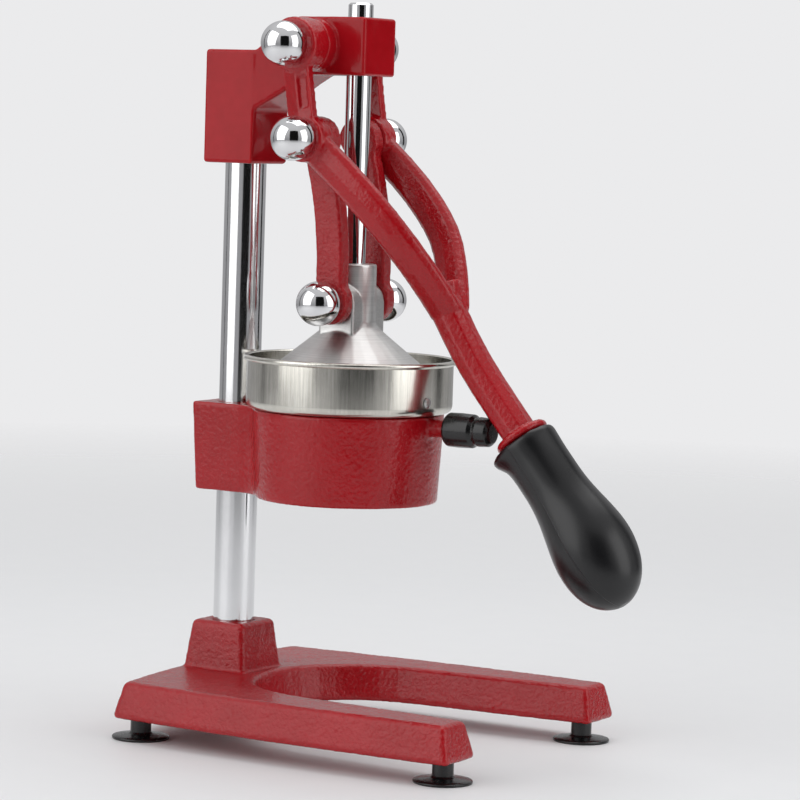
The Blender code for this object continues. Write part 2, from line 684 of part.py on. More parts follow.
def build_upper_pivot(body, steel, chrome):
    centre_y = ball_centre_y(UPPER_EYE_OUTER_Y)
    shaft = rod_between(side_point(UPPER_PIVOT, -centre_y), side_point(UPPER_PIVOT, centre_y), PIVOT_PIN_RADIUS)
    body.piece("upper_pivot_shaft", shaft, steel)
    for side, sign in SIDES:
        nut = ball_nut(sign, centre_y, UPPER_PIVOT, centre_y + FACE_GAP)
        body.piece(f"ball_nut_upper_{side}", nut, chrome)


# Tray


def tray_outline(spread):
    """The ring and its clamp in plan, spread outwards from the size of its foot."""
    rear = TRAY_REAR_X + TRAY_DRAFT - spread
    half = TRAY_CLAMP_HALF_WIDTH - TRAY_DRAFT / 2 + spread / 2
    radius = TRAY_RING_RADIUS - TRAY_DRAFT + spread
    join = math.radians(145)
    touch = (ROD_X + radius * math.cos(join), radius * math.sin(join))
    along = (touch[1] - half) / math.sin(join - math.pi / 2)
    control = (touch[0] - along * math.cos(join - math.pi / 2), half)
    waist = [(TRAY_CLAMP_FRONT_X, half), *quadratic((TRAY_CLAMP_FRONT_X, half), control, touch, 6)]
    ring = arc((ROD_X, 0), radius, 145, -145, 30)
    mirrored = [(x, -y) for x, y in reversed(waist)]
    points = [(rear, half), *waist, *ring, *mirrored, (rear, -half)]
    return with_round_corners(points, (0, len(points) - 1), 0.003)


def build_tray(body, enamel, steel):
    rings = [ring_at(tray_outline(0), TRAY_FOOT_Z), ring_at(tray_outline(TRAY_DRAFT), TRAY_TOP_Z)]
    stop_root_x = ROD_X + (TRAY_BORE_RADIUS + TRAY_RING_RADIUS - TRAY_DRAFT) / 2
    stop = rod_between((stop_root_x, 0, STOP_Z), (STOP_END_X, 0, STOP_Z), STOP_RADIUS)
    below = Vector((0, 0, TRAY_FOOT_Z - 0.001))
    above = Vector((0, 0, TRAY_TOP_Z + 0.001))
    bore = rod_between(ROD_AXIS + below, ROD_AXIS + above, TRAY_BORE_RADIUS, FINE)
    seat = rod_between(ROD_AXIS + Vector((0, 0, TRAY_SEAT_Z)), ROD_AXIS + above, TRAY_SEAT_RADIUS, FINE)
    column_bore = rod_between(below, above, COLUMN_RADIUS + BORE_GAP, ROUND)
    screw_z = TRAY_FOOT_Z + TRAY_HEIGHT / 2
    screw_hole = rod_between((TRAY_REAR_X - 0.001, 0, screw_z), (0, 0, screw_z), SET_SCREW_RADIUS + BORE_GAP, TINY)
    body.piece(
        "tray_casting",
        lofted(rings),
        enamel,
        TRAY_EDGE_RADIUS,
        added=[(stop, 0.0008)],
        removed=plain(bore, seat, column_bore, screw_hole),
    )
    start_x = TRAY_REAR_X + 0.003
    body.piece("tray_set_screw", set_screw((start_x, 0, screw_z), -COLUMN_RADIUS - FACE_GAP - start_x), steel)


def build_bumper(body, rubber):
    """A rubber sleeve on the tray's stop, closed at the end that the lever rests on."""
    bore = STOP_RADIUS + BORE_GAP
    bore_end = STOP_END_X + FACE_GAP - BUMPER_START_X
    end = bore_end + BUMPER_CAP
    step = end * 0.52
    profile = [(0, end), (BUMPER_NOSE_RADIUS * 0.72, end), (BUMPER_NOSE_RADIUS, end - 0.0028)]
    profile += [(BUMPER_NOSE_RADIUS + 0.0004, step + 0.003), (BUMPER_RADIUS, step)]
    profile += [(BUMPER_RADIUS, 0.0016), (BUMPER_RADIUS - 0.0016, 0), (bore, 0), (bore, bore_end), (0, bore_end)]
    body.piece("stop_bumper", turned(profile, SMALL, (BUMPER_START_X, 0, STOP_Z), (1, 0, 0)), rubber)


# Bowl, strainer, reamer and funnel


def build_bowl(body, stainless):
    radius = BOWL_RADIUS
    corner = BOWL_CORNER_RADIUS
    rim = radius + BOWL_RIM_REACH
    top = BOWL_RIM_Z
    outer = arc((radius - corner, BOWL_FOOT_Z + corner), corner, 0, -90, 3)
    inner = arc((radius - corner, BOWL_FOOT_Z + corner), corner - SHEET, -90, 0, 3)
    outlet = BOWL_OUTLET_RADIUS
    drop = BOWL_FOOT_Z - BOWL_OUTLET_DROP
    profile = [(radius - 0.0002, top), (rim, top - 0.0006), (rim, top - 0.0022), (radius, top - 0.0030), *outer]
    profile += [(outlet + 0.001, BOWL_FOOT_Z), (outlet, BOWL_FOOT_Z - 0.001), (outlet, drop)]
    profile += [(outlet - SHEET, drop), (outlet - SHEET, BOWL_FLOOR_Z - 0.0005), (outlet, BOWL_FLOOR_Z), *inner]
    profile += [(BOWL_INNER_RADIUS, top - 0.0012)]
    body.piece("juice_bowl", turned(profile, FINE, ROD_AXIS), stainless, removed=plain(*rivet_holes()))


def rivet_direction(turn):
    return Vector((math.cos(RIVET_BEARING + turn), math.sin(RIVET_BEARING + turn), 0))


def rivet_holes():
    """Cutters for the two rivets, one each side of the bowl's axis."""
    cutters = []
    for turn in (0, math.pi):
        out = rivet_direction(turn)
        start = ROD_AXIS + Vector((0, 0, RIVET_Z)) + out * (STRAINER_RADIUS - 0.004)
        cutters.append(rod_between(start, start + out * 0.010, RIVET_RADIUS + BORE_GAP, TINY))
    return cutters


def build_rivets(body, steel):
    """Each rivet passes through the bowl's wall and the strainer's flange and has a head on each side."""
    outer = BOWL_RADIUS + FACE_GAP
    inner = (STRAINER_RADIUS - SHEET) * math.cos(math.pi / FINE) - FACE_GAP
    span = outer - inner
    head = RIVET_HEAD_RADIUS
    height = RIVET_HEAD_HEIGHT
    profile = [(0, span + height), (head * 0.6, span + height * 0.8), (head, span), (RIVET_RADIUS, span)]
    profile += [(RIVET_RADIUS, 0), (head, 0), (head * 0.6, -height * 0.8), (0, -height)]
    for name, turn in (("front", 0), ("rear", math.pi)):
        out = rivet_direction(turn)
        centre = ROD_AXIS + Vector((0, 0, RIVET_Z)) + out * inner
        body.piece(f"bowl_rivet_{name}", turned(profile, TINY, centre, out), steel)


def build_strainer(body, stainless):
    """A pierced plate with an upturned flange, riveted inside the bowl. The reamer is screwed on it."""
    hole = REAMER_SCREW_RADIUS + BORE_GAP
    plate_top = STRAINER_Z + SHEET
    inner = STRAINER_RADIUS - SHEET
    foot = STRAINER_RADIUS - STRAINER_CORNER * 0.8
    profile = [(inner, STRAINER_TOP_Z), (STRAINER_RADIUS, STRAINER_TOP_Z)]
    profile += [(STRAINER_RADIUS, STRAINER_Z + STRAINER_CORNER * 0.9), (foot, STRAINER_Z), (hole, STRAINER_Z)]
    profile += [(hole, plate_top), (foot - SHEET * 0.4, plate_top), (inner, STRAINER_Z + STRAINER_CORNER)]
    cuts = rivet_holes()
    for number in range(STRAINER_HOLES):
        angle = math.tau * (number + 0.5) / STRAINER_HOLES
        x = ROD_X + STRAINER_HOLE_CIRCLE * math.cos(angle)
        y = STRAINER_HOLE_CIRCLE * math.sin(angle)
        cuts.append(rod_between((x, y, STRAINER_Z - 0.001), (x, y, plate_top + 0.001), STRAINER_HOLE_RADIUS, 6))
    body.piece("strainer_plate", turned(profile, FINE, ROD_AXIS), stainless, removed=plain(*cuts))


def build_reamer(body, aluminium, steel):
    """A ribbed cone that the half fruit sits on, with a screw up through the strainer."""
    rings = []
    shoulder_z = REAMER_FOOT_Z + REAMER_SKIRT
    top_z = REAMER_FOOT_Z + REAMER_HEIGHT
    stations = [(REAMER_RADIUS, REAMER_FOOT_Z, 0.0), (REAMER_RADIUS, shoulder_z - 0.003, 0.4)]
    for step in range(6):
        t = step / 5
        radius = 0.004 + (REAMER_RADIUS - 0.0065) * (1 - t)
        stations.append((radius, shoulder_z + (top_z - shoulder_z) * t ** 0.9, 1 - 0.8 * t))
    for radius, z, ribbing in stations:
        ring = []
        for flat in range(FINE):
            angle = math.tau * flat / FINE
            wave = radius + ribbing * REAMER_RIB_DEPTH * math.cos(REAMER_RIBS * angle)
            ring.append(ROD_AXIS + Vector((wave * math.cos(angle), wave * math.sin(angle), z)))
        rings.append(ring)
    depth = 0.014
    bore_foot = ROD_AXIS + Vector((0, 0, REAMER_FOOT_Z - 0.001))
    bore_top = ROD_AXIS + Vector((0, 0, REAMER_FOOT_Z + depth + 0.001))
    bore = rod_between(bore_foot, bore_top, REAMER_SCREW_RADIUS + BORE_GAP, TINY)
    body.piece("reamer_cone", lofted(rings), aluminium, removed=plain(bore))
    head_height = 0.002
    head = ROD_AXIS + Vector((0, 0, STRAINER_Z - FACE_GAP - head_height))
    length = REAMER_FOOT_Z + depth - head.z - head_height
    screw = headed_screw(head, (0, 0, 1), 0.0045, head_height, REAMER_SCREW_RADIUS, length)
    body.piece("reamer_screw", screw, steel)


def build_funnel(body, stainless):
    lip_z = TRAY_SEAT_Z + FACE_GAP
    lip_radius = TRAY_SEAT_RADIUS - FACE_GAP
    throat = TRAY_BORE_RADIUS - 0.001
    outlet = FUNNEL_OUTLET_RADIUS
    spout_foot = TRAY_FOOT_Z + 0.004
    spout_top = spout_foot + FUNNEL_SPOUT
    profile = [(lip_radius, lip_z + SHEET), (lip_radius, lip_z), (throat, lip_z), (throat - 0.0015, lip_z - 0.003)]
    profile += [(outlet, spout_top), (outlet, spout_foot), (outlet - SHEET, spout_foot)]
    profile += [(outlet - SHEET, spout_top + 0.0006), (throat - 0.003, lip_z - 0.0025), (throat - 0.0016, lip_z + SHEET)]
    body.piece("juice_funnel", turned(profile, FINE, ROD_AXIS), stainless)


# Ram


def cone_z(radius):
    """Height of the press cone's outer surface at a radius."""
    return CONE_RIM_Z + CONE_RIM_HEIGHT + (CONE_RIM_RADIUS - radius) * CONE_RISE


def build_press_cone(body, aluminium):
    bore_foot = HUB_TOP_Z - HUB_BORE_DEPTH
    bore = ROD_RADIUS + BORE_GAP
    inner_rim = CONE_RIM_RADIUS - 0.004
    profile = [(0, bore_foot), (bore, bore_foot), (bore, HUB_TOP_Z), (HUB_RADIUS - 0.0006, HUB_TOP_Z)]
    profile += [(HUB_RADIUS, HUB_TOP_Z - 0.0006), (HUB_RADIUS, cone_z(HUB_RADIUS) + 0.0015)]
    profile += [(HUB_RADIUS + 0.0018, cone_z(HUB_RADIUS + 0.0018)), (CONE_RIM_RADIUS, cone_z(CONE_RIM_RADIUS))]
    profile += [(CONE_RIM_RADIUS, CONE_RIM_Z), (inner_rim, CONE_RIM_Z), (inner_rim, cone_z(inner_rim) - CONE_WALL)]
    profile += [(0.010, cone_z(0.010) - CONE_WALL - 0.003), (0, cone_z(0.010) - CONE_WALL - 0.003)]
    ear_top = CROSS_PIN_Z
    foot_z = cone_z(EAR_REACH + 0.006)
    side_view = [(ROD_X + EAR_HALF_LENGTH, foot_z), *arc((ROD_X, ear_top), EAR_HALF_LENGTH, 0, 180, 10)]
    side_view.append((ROD_X - EAR_HALF_LENGTH, foot_z))
    ears = lofted([[Vector((x, y, z)) for x, z in side_view] for y in (-EAR_REACH, EAR_REACH)])
    pin_bore = pin_along_y((ROD_X, CROSS_PIN_Z), -EAR_REACH - 0.001, EAR_REACH + 0.001, CROSS_PIN_RADIUS + BORE_GAP)
    rod_bore = rod_between(
        ROD_AXIS + Vector((0, 0, bore_foot)), ROD_AXIS + Vector((0, 0, HUB_TOP_Z + 0.001)), bore, ROUND
    )
    body.piece(
        "press_cone",
        turned(profile, FINE, ROD_AXIS),
        aluminium,
        added=[(ears, 0.001)],
        removed=plain(rod_bore, pin_bore),
    )


def pin_along_y(pivot, start_y, end_y, radius, flats=SMALL):
    return rod_between(side_point(pivot, start_y), side_point(pivot, end_y), radius, flats)


def build_rod(body, chrome):
    foot = HUB_TOP_Z - HUB_BORE_DEPTH + FACE_GAP
    inner = ROD_RADIUS - ROD_CHAMFER
    profile = [(0, ROD_TOP_Z), (inner, ROD_TOP_Z), (ROD_RADIUS, ROD_TOP_Z - ROD_CHAMFER)]
    profile += [(ROD_RADIUS, foot), (0, foot)]
    reach = ROD_RADIUS + 0.001
    bore = pin_along_y((ROD_X, CROSS_PIN_Z), -reach, reach, CROSS_PIN_RADIUS + BORE_GAP)
    body.piece("press_rod", turned(profile, ROUND, ROD_AXIS), chrome, removed=plain(bore))


def build_cross_pin(body, steel, chrome):
    """One pin through the rod, the cone's ears and the feet of both links, with a ball nut on each end."""
    pivot = (ROD_X, CROSS_PIN_Z)
    centre_y = ball_centre_y(LINK_FOOT_OUTER_Y)
    body.piece("cross_pin", pin_along_y(pivot, -centre_y, centre_y, CROSS_PIN_RADIUS), steel)
    for side, sign in SIDES:
        nut = ball_nut(sign, centre_y, pivot, centre_y + FACE_GAP, CROSS_PIN_RADIUS + BORE_GAP)
        body.piece(f"ball_nut_lower_{side}", nut, chrome)


# Links


def link_stations():
    """(distance along the link, half-width) from tip to tip, with a round eye at each end."""
    length = (side_point(MIDDLE_PIVOT) - side_point((ROD_X, CROSS_PIN_Z))).length
    meet = 180 - math.degrees(math.asin(LINK_HALF_WIDTH / LINK_EYE_RADIUS))
    eye = []
    for angle in (12, 30, 50, 70, 90, 112, meet):
        turn = math.radians(angle)
        eye.append((-LINK_EYE_RADIUS * math.cos(turn), LINK_EYE_RADIUS * math.sin(turn)))
    middle = [(length * t, LINK_HALF_WIDTH) for t in (0.28, 0.4, 0.5, 0.6, 0.72)]
    return [*eye, *middle, *[(length - along, half) for along, half in reversed(eye)]], length


def link_mesh(sign):
    """A strap bowed towards the front, from the middle pivot down to the cross pin, where it is thinner."""
    stations, length = link_stations()
    top = side_point(MIDDLE_PIVOT)
    down = (side_point((ROD_X, CROSS_PIN_Z)) - top).normalized()
    front = Vector((-down.z, 0, down.x))
    rings = []
    for along, half in stations:
        share = min(max(along / length, 0), 1)
        centre = top + down * along + front * (LINK_BOW * 4 * share * (1 - share))
        outer_y = LINK_OUTER_Y + (LINK_FOOT_OUTER_Y - LINK_OUTER_Y) * smooth_step((share - 0.6) / 0.25)
        ring = []
        for edge, y in ((-half, LINK_INNER_Y), (half, LINK_INNER_Y), (half, outer_y), (-half, outer_y)):
            ring.append(centre + front * edge + Vector((0, sign * y, 0)))
        rings.append(ring)
    return lofted(rings)


def build_links(body, enamel, steel):
    """Two links, each with the flush stud that fills its upper eye. The linkage is open at this pivot."""
    for side, sign in SIDES:
        inner = sign * (LINK_INNER_Y - 0.001)
        outer = sign * (LINK_OUTER_Y + 0.001)
        upper_hole = pin_along_y(MIDDLE_PIVOT, inner, outer, PIN_BORE_RADIUS)
        lower_hole = pin_along_y((ROD_X, CROSS_PIN_Z), inner, outer, CROSS_PIN_RADIUS + BORE_GAP)
        body.piece(
            f"link_{side}", link_mesh(sign), enamel, LINK_EDGE_RADIUS, removed=plain(upper_hole, lower_hole)
        )
        stud = pin_along_y(MIDDLE_PIVOT, sign * LINK_INNER_Y, sign * LINK_OUTER_Y, PIVOT_PIN_RADIUS)
        body.piece(f"link_stud_{side}", stud, steel)


# Lever


def swept(stations, section):
    """A loft of one section along a path. A station is (point, half-height, half-thickness)."""
    points = [station[0] for station in stations]
    rings = []
    for index, (point, half_height, half_thickness) in enumerate(stations):
        before = points[max(index - 1, 0)]
        after = points[min(index + 1, len(points) - 1)]
        tangent = (after - before).normalized()
        height = Vector((0, 1, 0)).cross(tangent).normalized()
        across = tangent.cross(height)
        rings.append([point + height * (h * half_height) + across * (w * half_thickness) for h, w in section])
    return lofted(rings)


def ridged_section():
    """A rounded bar section with a ridge along each side, as shares of its half-height and half-thickness."""
    quarter = [(1.0, 0.34), (0.70, 0.80), (0.0, 1.0)]
    upper = [*quarter, *[(-h, w) for h, w in reversed(quarter[:-1])]]
    return [*upper, *[(h, -w) for h, w in reversed(upper)]]


def arm_mesh(sign):
    """One branch of the fork, from the middle eye round to the crotch."""
    start = side_point(MIDDLE_PIVOT, sign * (MIDDLE_EYE_INNER_Y + MIDDLE_EYE_THICKNESS / 2))
    end = side_point(CROTCH, sign * ARM_THICKNESS * 0.34) + handle_direction() * 0.0035
    chord = end - start
    front = Vector((-chord.z, 0, chord.x)).normalized()
    widen = Vector((0, sign, 0))
    guides = [start]
    for share, arch, spread in ((0.34, 0.80, 0.76), (0.62, 1.0, 1.0), (0.84, 0.58, 0.52)):
        guides.append(start + chord * share + front * (ARM_ARCH * arch) + widen * (ARM_SPREAD * spread))
    path = spline([*guides, end], 3)
    return swept([(point, ARM_HALF_HEIGHT, ARM_THICKNESS / 2) for point in path], ridged_section())


def handle_direction():
    return Vector((math.cos(HANDLE_PITCH), 0, -math.sin(HANDLE_PITCH)))


def bar_mesh():
    """The single bar from the crotch to the collar. It starts a little way up, between the two arms."""
    crotch = side_point(CROTCH)
    chord = side_point(BAR_FOOT) - crotch
    start = crotch + Vector((-0.0055, 0, 0.0130))
    middle = crotch + chord * 0.45 + Vector((chord.z, 0, -chord.x)).normalized() * BAR_SAG
    end = side_point(BAR_FOOT) + handle_direction() * (COLLAR_THICKNESS * 0.6)
    path = spline([start, crotch, middle, end], 4)
    stations = []
    for index, point in enumerate(path):
        share = smooth_step(index / 6)
        height = BAR_HALF_HEIGHT * (1.18 - 0.18 * share)
        stations.append((point, height, BAR_THICKNESS / 2 * (0.90 + 0.10 * share)))
    return swept(stations, ridged_section())


def eye_mesh(pivot, radius, inner_y, thickness, sign):
    profile_edge = 0.0012
    profile = [(0, thickness), (radius - profile_edge, thickness), (radius, thickness - profile_edge)]
    profile += [(radius, profile_edge), (radius - profile_edge, 0), (0, 0)]
    return turned(profile, ROUND, side_point(pivot, sign * inner_y), (0, sign, 0))


def crank_frame():
    """The upper pivot, the direction down to the middle one, the direction square to that, and the distance."""
    top = side_point(UPPER_PIVOT)
    line = side_point(MIDDLE_PIVOT) - top
    down = line.normalized()
    return top, down, Vector((-down.z, 0, down.x)), line.length


def crank_prism(sign, section, start, end):
    """A bar along the crank with a section of (towards the front, outwards in Y) points."""
    top, down, front, _length = crank_frame()
    rings = []
    for along in (start, end):
        rings.append([top + down * along + front * edge + Vector((0, sign * y, 0)) for edge, y in section])
    return lofted(rings)


def crank_mesh(sign):
    """The short bar between the upper and the middle eye. Its outer face slopes away towards the rear."""
    outer = MIDDLE_EYE_OUTER_Y - CRANK_INSET
    inner = outer - CRANK_THICKNESS
    section = [(-CRANK_REAR, inner), (CRANK_FRONT, inner), (CRANK_FRONT, outer), (-CRANK_REAR * 0.1, outer)]
    section.append((-CRANK_REAR, outer - CRANK_THICKNESS * 0.5))
    return crank_prism(sign, section, 0, crank_frame()[3])


def panel_mesh(sign):
    """Cutter for the sunk panel on the flat part of the crank's outer face."""
    outer = MIDDLE_EYE_OUTER_Y - CRANK_INSET
    rear = -CRANK_REAR * 0.1 + PANEL_REAR
    front = CRANK_FRONT - PANEL_FRONT
    foot = outer - PANEL_DEPTH
    section = [(rear, foot), (front, foot), (front, outer + 0.003), (rear, outer + 0.003)]
    return crank_prism(sign, section, UPPER_EYE_RADIUS + 0.003, crank_frame()[3] - MIDDLE_EYE_RADIUS - 0.003)


def build_lever_casting(body, enamel):
    start = side_point(BAR_FOOT)
    down = handle_direction()
    collar_profile = [(0, COLLAR_THICKNESS), (COLLAR_RADIUS - 0.0015, COLLAR_THICKNESS)]
    collar_profile += [(COLLAR_RADIUS, COLLAR_THICKNESS - 0.0015), (COLLAR_RADIUS, 0.0015)]
    collar_profile += [(COLLAR_RADIUS - 0.0015, 0), (0, 0)]
    collar = turned(collar_profile, ROUND, start, down)
    tang_start = start + down * (COLLAR_THICKNESS * 0.4)
    tang = rod_between(tang_start, start + down * (COLLAR_THICKNESS + TANG_LENGTH), TANG_RADIUS)
    added = [collar, tang]
    removed = []
    for _side, sign in SIDES:
        added.append(arm_mesh(sign))
        added.append(crank_mesh(sign))
        added.append(eye_mesh(UPPER_PIVOT, UPPER_EYE_RADIUS, UPPER_EYE_INNER_Y, UPPER_EYE_THICKNESS, sign))
        added.append(eye_mesh(MIDDLE_PIVOT, MIDDLE_EYE_RADIUS, MIDDLE_EYE_INNER_Y, MIDDLE_EYE_THICKNESS, sign))
        removed.append(panel_mesh(sign))
        for pivot in (UPPER_PIVOT, MIDDLE_PIVOT):
            removed.append(pin_along_y(pivot, sign * 0.020, sign * 0.055, PIN_BORE_RADIUS))
    body.piece("lever_casting", bar_mesh(), enamel, added=plain(*added), removed=plain(*removed))


def grip_radius(share):
    """The grip's radius at a share of its length: a waist behind the hand, a bulb, and a round end."""
    waist = GRIP_NECK_RADIUS + (GRIP_WAIST_RADIUS - GRIP_NECK_RADIUS) * smooth_step(share / 0.15)
    bulb = (GRIP_BULB_RADIUS - GRIP_WAIST_RADIUS) * smooth_step((share - 0.29) / 0.40)
    tip = math.sqrt(max(0.0, 1 - (max(0.0, share - 0.66) / 0.34) ** 2.4))
    return (waist + bulb) * tip


def grip_rings():
    """Rings of the grip. The first few reach out below the bar in a lip that stops the hand."""
    down = handle_direction()
    under = Vector((0, 1, 0)).cross(down).normalized()
    start = side_point(BAR_FOOT) + down * (COLLAR_THICKNESS + FACE_GAP)
    shares = (0, 0.015, 0.05, 0.09, 0.14, 0.22, 0.32, 0.42, 0.52, 0.62, 0.70, 0.78, 0.85, 0.91, 0.955, 0.985, 0.997)
    rings = []
    for share in shares:
        radius = grip_radius(share) * (0.93 if share == 0 else 1)
        sag = under * (GRIP_BEND * math.sin(math.pi * share) + GRIP_DROOP * smooth_step((share - 0.45) / 0.5))
        lip = GRIP_LIP_REACH * math.exp(-(((share - 0.025) / 0.045) ** 2))
        ring = []
        for flat in range(24):
            angle = math.tau * flat / 24
            reach = radius + lip * max(0.0, math.cos(angle)) ** 3
            side = under * math.cos(angle) + Vector((0, math.sin(angle), 0))
            ring.append(start + down * (GRIP_LENGTH * share) + sag + side * reach)
        rings.append(ring)
    return rings


def build_grip(body, plastic):
    down = handle_direction()
    start = side_point(BAR_FOOT) + down * COLLAR_THICKNESS
    bore = rod_between(start - down * 0.002, start + down * (TANG_LENGTH + FACE_GAP), TANG_RADIUS + BORE_GAP)
    body.piece("lever_grip", lofted(grip_rings()), plastic, removed=plain(bore))


def build_middle_pivots(body, steel, chrome):
    """A pin in each middle eye of the lever lines up with the stud of the link, with a ball nut outside."""
    centre_y = ball_centre_y(MIDDLE_EYE_OUTER_Y)
    for side, sign in SIDES:
        pin = pin_along_y(MIDDLE_PIVOT, sign * MIDDLE_EYE_INNER_Y, sign * centre_y, PIVOT_PIN_RADIUS)
        body.piece(f"middle_pin_{side}", pin, steel)
        nut = ball_nut(sign, centre_y, MIDDLE_PIVOT, centre_y + FACE_GAP)
        body.piece(f"ball_nut_middle_{side}", nut, chrome)


# The whole press


def clear_scene():
    for obj in list(bpy.data.objects):
        bpy.data.objects.remove(obj)


def centre_on_footprint(root):
    """Moves the root empty so that the world origin is below the middle of the press."""
    bpy.context.view_layer.update()
    graph = bpy.context.evaluated_depsgraph_get()
    reach = []
    for obj in bpy.data.objects:
        if obj.type == "MESH" and not obj.hide_render:
            reach += [(obj.matrix_world @ Vector(corner)).x for corner in obj.evaluated_get(graph).bound_box]
    root.location.x = -(min(reach) + max(reach)) / 2


def main():
    clear_scene()
    enamel = finish("red_enamel", (0.42, 0.012, 0.018), 0.28, coat=0.4)
    chrome = finish("chrome", (0.80, 0.80, 0.82), 0.08, metallic=1.0)
    steel = finish("steel", (0.55, 0.55, 0.56), 0.35, metallic=1.0)
    stainless = finish("brushed_stainless", (0.62, 0.60, 0.55), 0.30, metallic=1.0)
    aluminium = finish("cast_aluminium", (0.70, 0.70, 0.70), 0.38, metallic=1.0)
    rubber = finish("black_rubber", (0.012, 0.012, 0.012), 0.45)
    plastic = finish("black_grip", (0.015, 0.015, 0.016), 0.40)

    root = empty("press", (0, 0, 0))
    stand = Builder("stand", (0, 0, 0), root)
    build_base(stand, enamel)
    build_feet(stand, rubber, steel)
    build_column(stand, chrome, steel)
    build_head(stand, enamel, steel)
    build_upper_pivot(stand, steel, chrome)
    build_tray(stand, enamel, steel)
    build_bumper(stand, rubber)
    build_bowl(stand, stainless)
    build_rivets(stand, steel)
    build_strainer(stand, stainless)
    build_reamer(stand, aluminium, steel)
    build_funnel(stand, stainless)

    lever = Builder("lever_pivot", side_point(UPPER_PIVOT), root)
    build_lever_casting(lever, enamel)
    build_grip(lever, plastic)
    build_middle_pivots(lever, steel, chrome)

    ram = Builder("ram_slide", side_point((ROD_X, CROSS_PIN_Z)), root)
    build_press_cone(ram, aluminium)
    build_rod(ram, chrome)
    build_cross_pin(ram, steel, chrome)

    links = Builder("link_pivot", side_point((ROD_X, CROSS_PIN_Z)), root)
    build_links(links, enamel, steel)
    centre_on_footprint(root)


main()
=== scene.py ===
"""Looks of a lever citrus press: enamelled castings, chrome, steel sheet and a black grip, in a pale studio.

Lengths are in metres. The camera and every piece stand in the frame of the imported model.
"""

from __future__ import annotations

import json
import logging
import math
from collections.abc import Callable, Iterable, Sequence
from dataclasses import dataclass
from enum import Enum
from typing import Any

import bmesh
import bpy
import numpy as np
from mathutils import Matrix, Vector

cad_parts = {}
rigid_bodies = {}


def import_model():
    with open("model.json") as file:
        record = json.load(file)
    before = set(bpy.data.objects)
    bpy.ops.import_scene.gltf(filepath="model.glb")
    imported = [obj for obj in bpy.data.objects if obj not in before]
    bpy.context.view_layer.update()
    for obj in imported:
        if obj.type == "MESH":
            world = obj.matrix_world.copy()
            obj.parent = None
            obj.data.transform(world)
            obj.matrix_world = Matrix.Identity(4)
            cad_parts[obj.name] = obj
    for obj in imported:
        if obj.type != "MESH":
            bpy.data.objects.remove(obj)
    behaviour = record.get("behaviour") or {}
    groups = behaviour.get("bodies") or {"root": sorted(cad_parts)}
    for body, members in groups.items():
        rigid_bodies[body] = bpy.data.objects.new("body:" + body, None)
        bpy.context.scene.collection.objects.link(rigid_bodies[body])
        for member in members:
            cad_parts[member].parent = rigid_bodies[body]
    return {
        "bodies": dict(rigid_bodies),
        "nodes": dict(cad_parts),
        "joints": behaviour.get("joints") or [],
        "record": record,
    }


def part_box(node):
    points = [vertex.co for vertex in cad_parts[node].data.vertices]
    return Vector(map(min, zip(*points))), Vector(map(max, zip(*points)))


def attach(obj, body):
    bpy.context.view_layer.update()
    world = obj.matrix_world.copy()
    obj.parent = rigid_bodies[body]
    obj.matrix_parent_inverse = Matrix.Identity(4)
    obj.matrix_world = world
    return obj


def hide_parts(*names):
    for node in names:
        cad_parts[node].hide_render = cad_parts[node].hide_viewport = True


log = logging.getLogger("press")

Point = tuple[float, float]
Triple = tuple[float, float, float]
Settings = dict[Any, Any] | None
Object = bpy.types.Object
Mesh = bpy.types.Mesh


class Body(Enum):
    """The moving bodies of the press."""

    STAND = "stand"
    LEVER = "lever"
    LINKS = "links"
    RAM = "ram"


class Slot(Enum):
    """The record's material slots."""

    ENAMEL = "red_enamel"
    CHROME = "chrome"
    STEEL = "steel"
    STAINLESS = "brushed_stainless"
    ALUMINIUM = "cast_aluminium"
    RUBBER = "black_rubber"
    GRIP = "black_grip"


class Relief(Enum):
    """How coarse the skin of a casting is: (cell size, height) of the lumps."""

    SMOOTH = (0.0060, 0.00005)
    SATIN = (0.0030, 0.00012)
    PEBBLED = (0.0026, 0.00020)


# Shader maths


@dataclass(frozen=True)
class Wire:
    """An output on a board, with the arithmetic that adds Math nodes after it."""

    board: Board
    socket: bpy.types.NodeSocket

    def math(self, operation: str, *values: Wire | float) -> Wire:
        """Adds a Math node.

        Args:
            operation: The Math node's operation.
            values: Its inputs in order.

        Returns:
            The result.
        """
        inputs = dict(enumerate(values))
        return self.board.add("ShaderNodeMath", {"operation": operation}, inputs).out()

    def __add__(self, other: Wire | float) -> Wire:
        """self + other."""
        return self.math("ADD", self, other)

    __radd__ = __add__

    def __mul__(self, other: Wire | float) -> Wire:
        """self * other."""
        return self.math("MULTIPLY", self, other)

    __rmul__ = __mul__

    def __sub__(self, other: Wire | float) -> Wire:
        """self - other."""
        return self.math("SUBTRACT", self, other)

    def __rsub__(self, other: float) -> Wire:
        """other - self."""
        return self.math("SUBTRACT", other, self)

    def __truediv__(self, other: Wire | float) -> Wire:
        """self / other."""
        return self.math("DIVIDE", self, other)

    def size(self) -> Wire:
        """The absolute value."""
        return self.math("ABSOLUTE", self)

    def over(self, low: float, high: float) -> Wire:
        """The share of the way from low to high, held between 0 and 1.

        Args:
            low: The value that gives 0.
            high: The value that gives 1.

        Returns:
            The share.
        """
        values = {"Value": self, "From Min": low, "From Max": high, "To Min": 0.0, "To Max": 1.0}
        return self.board.add("ShaderNodeMapRange", {"clamp": True}, values).out("Result")


@dataclass
class Part:
    """A node on a board, with its outputs by name."""

    board: Board
    node: bpy.types.Node

    def out(self, name: str | int = 0) -> Wire:
        """One output of the node as a Wire."""
        return Wire(self.board, self.node.outputs[name])


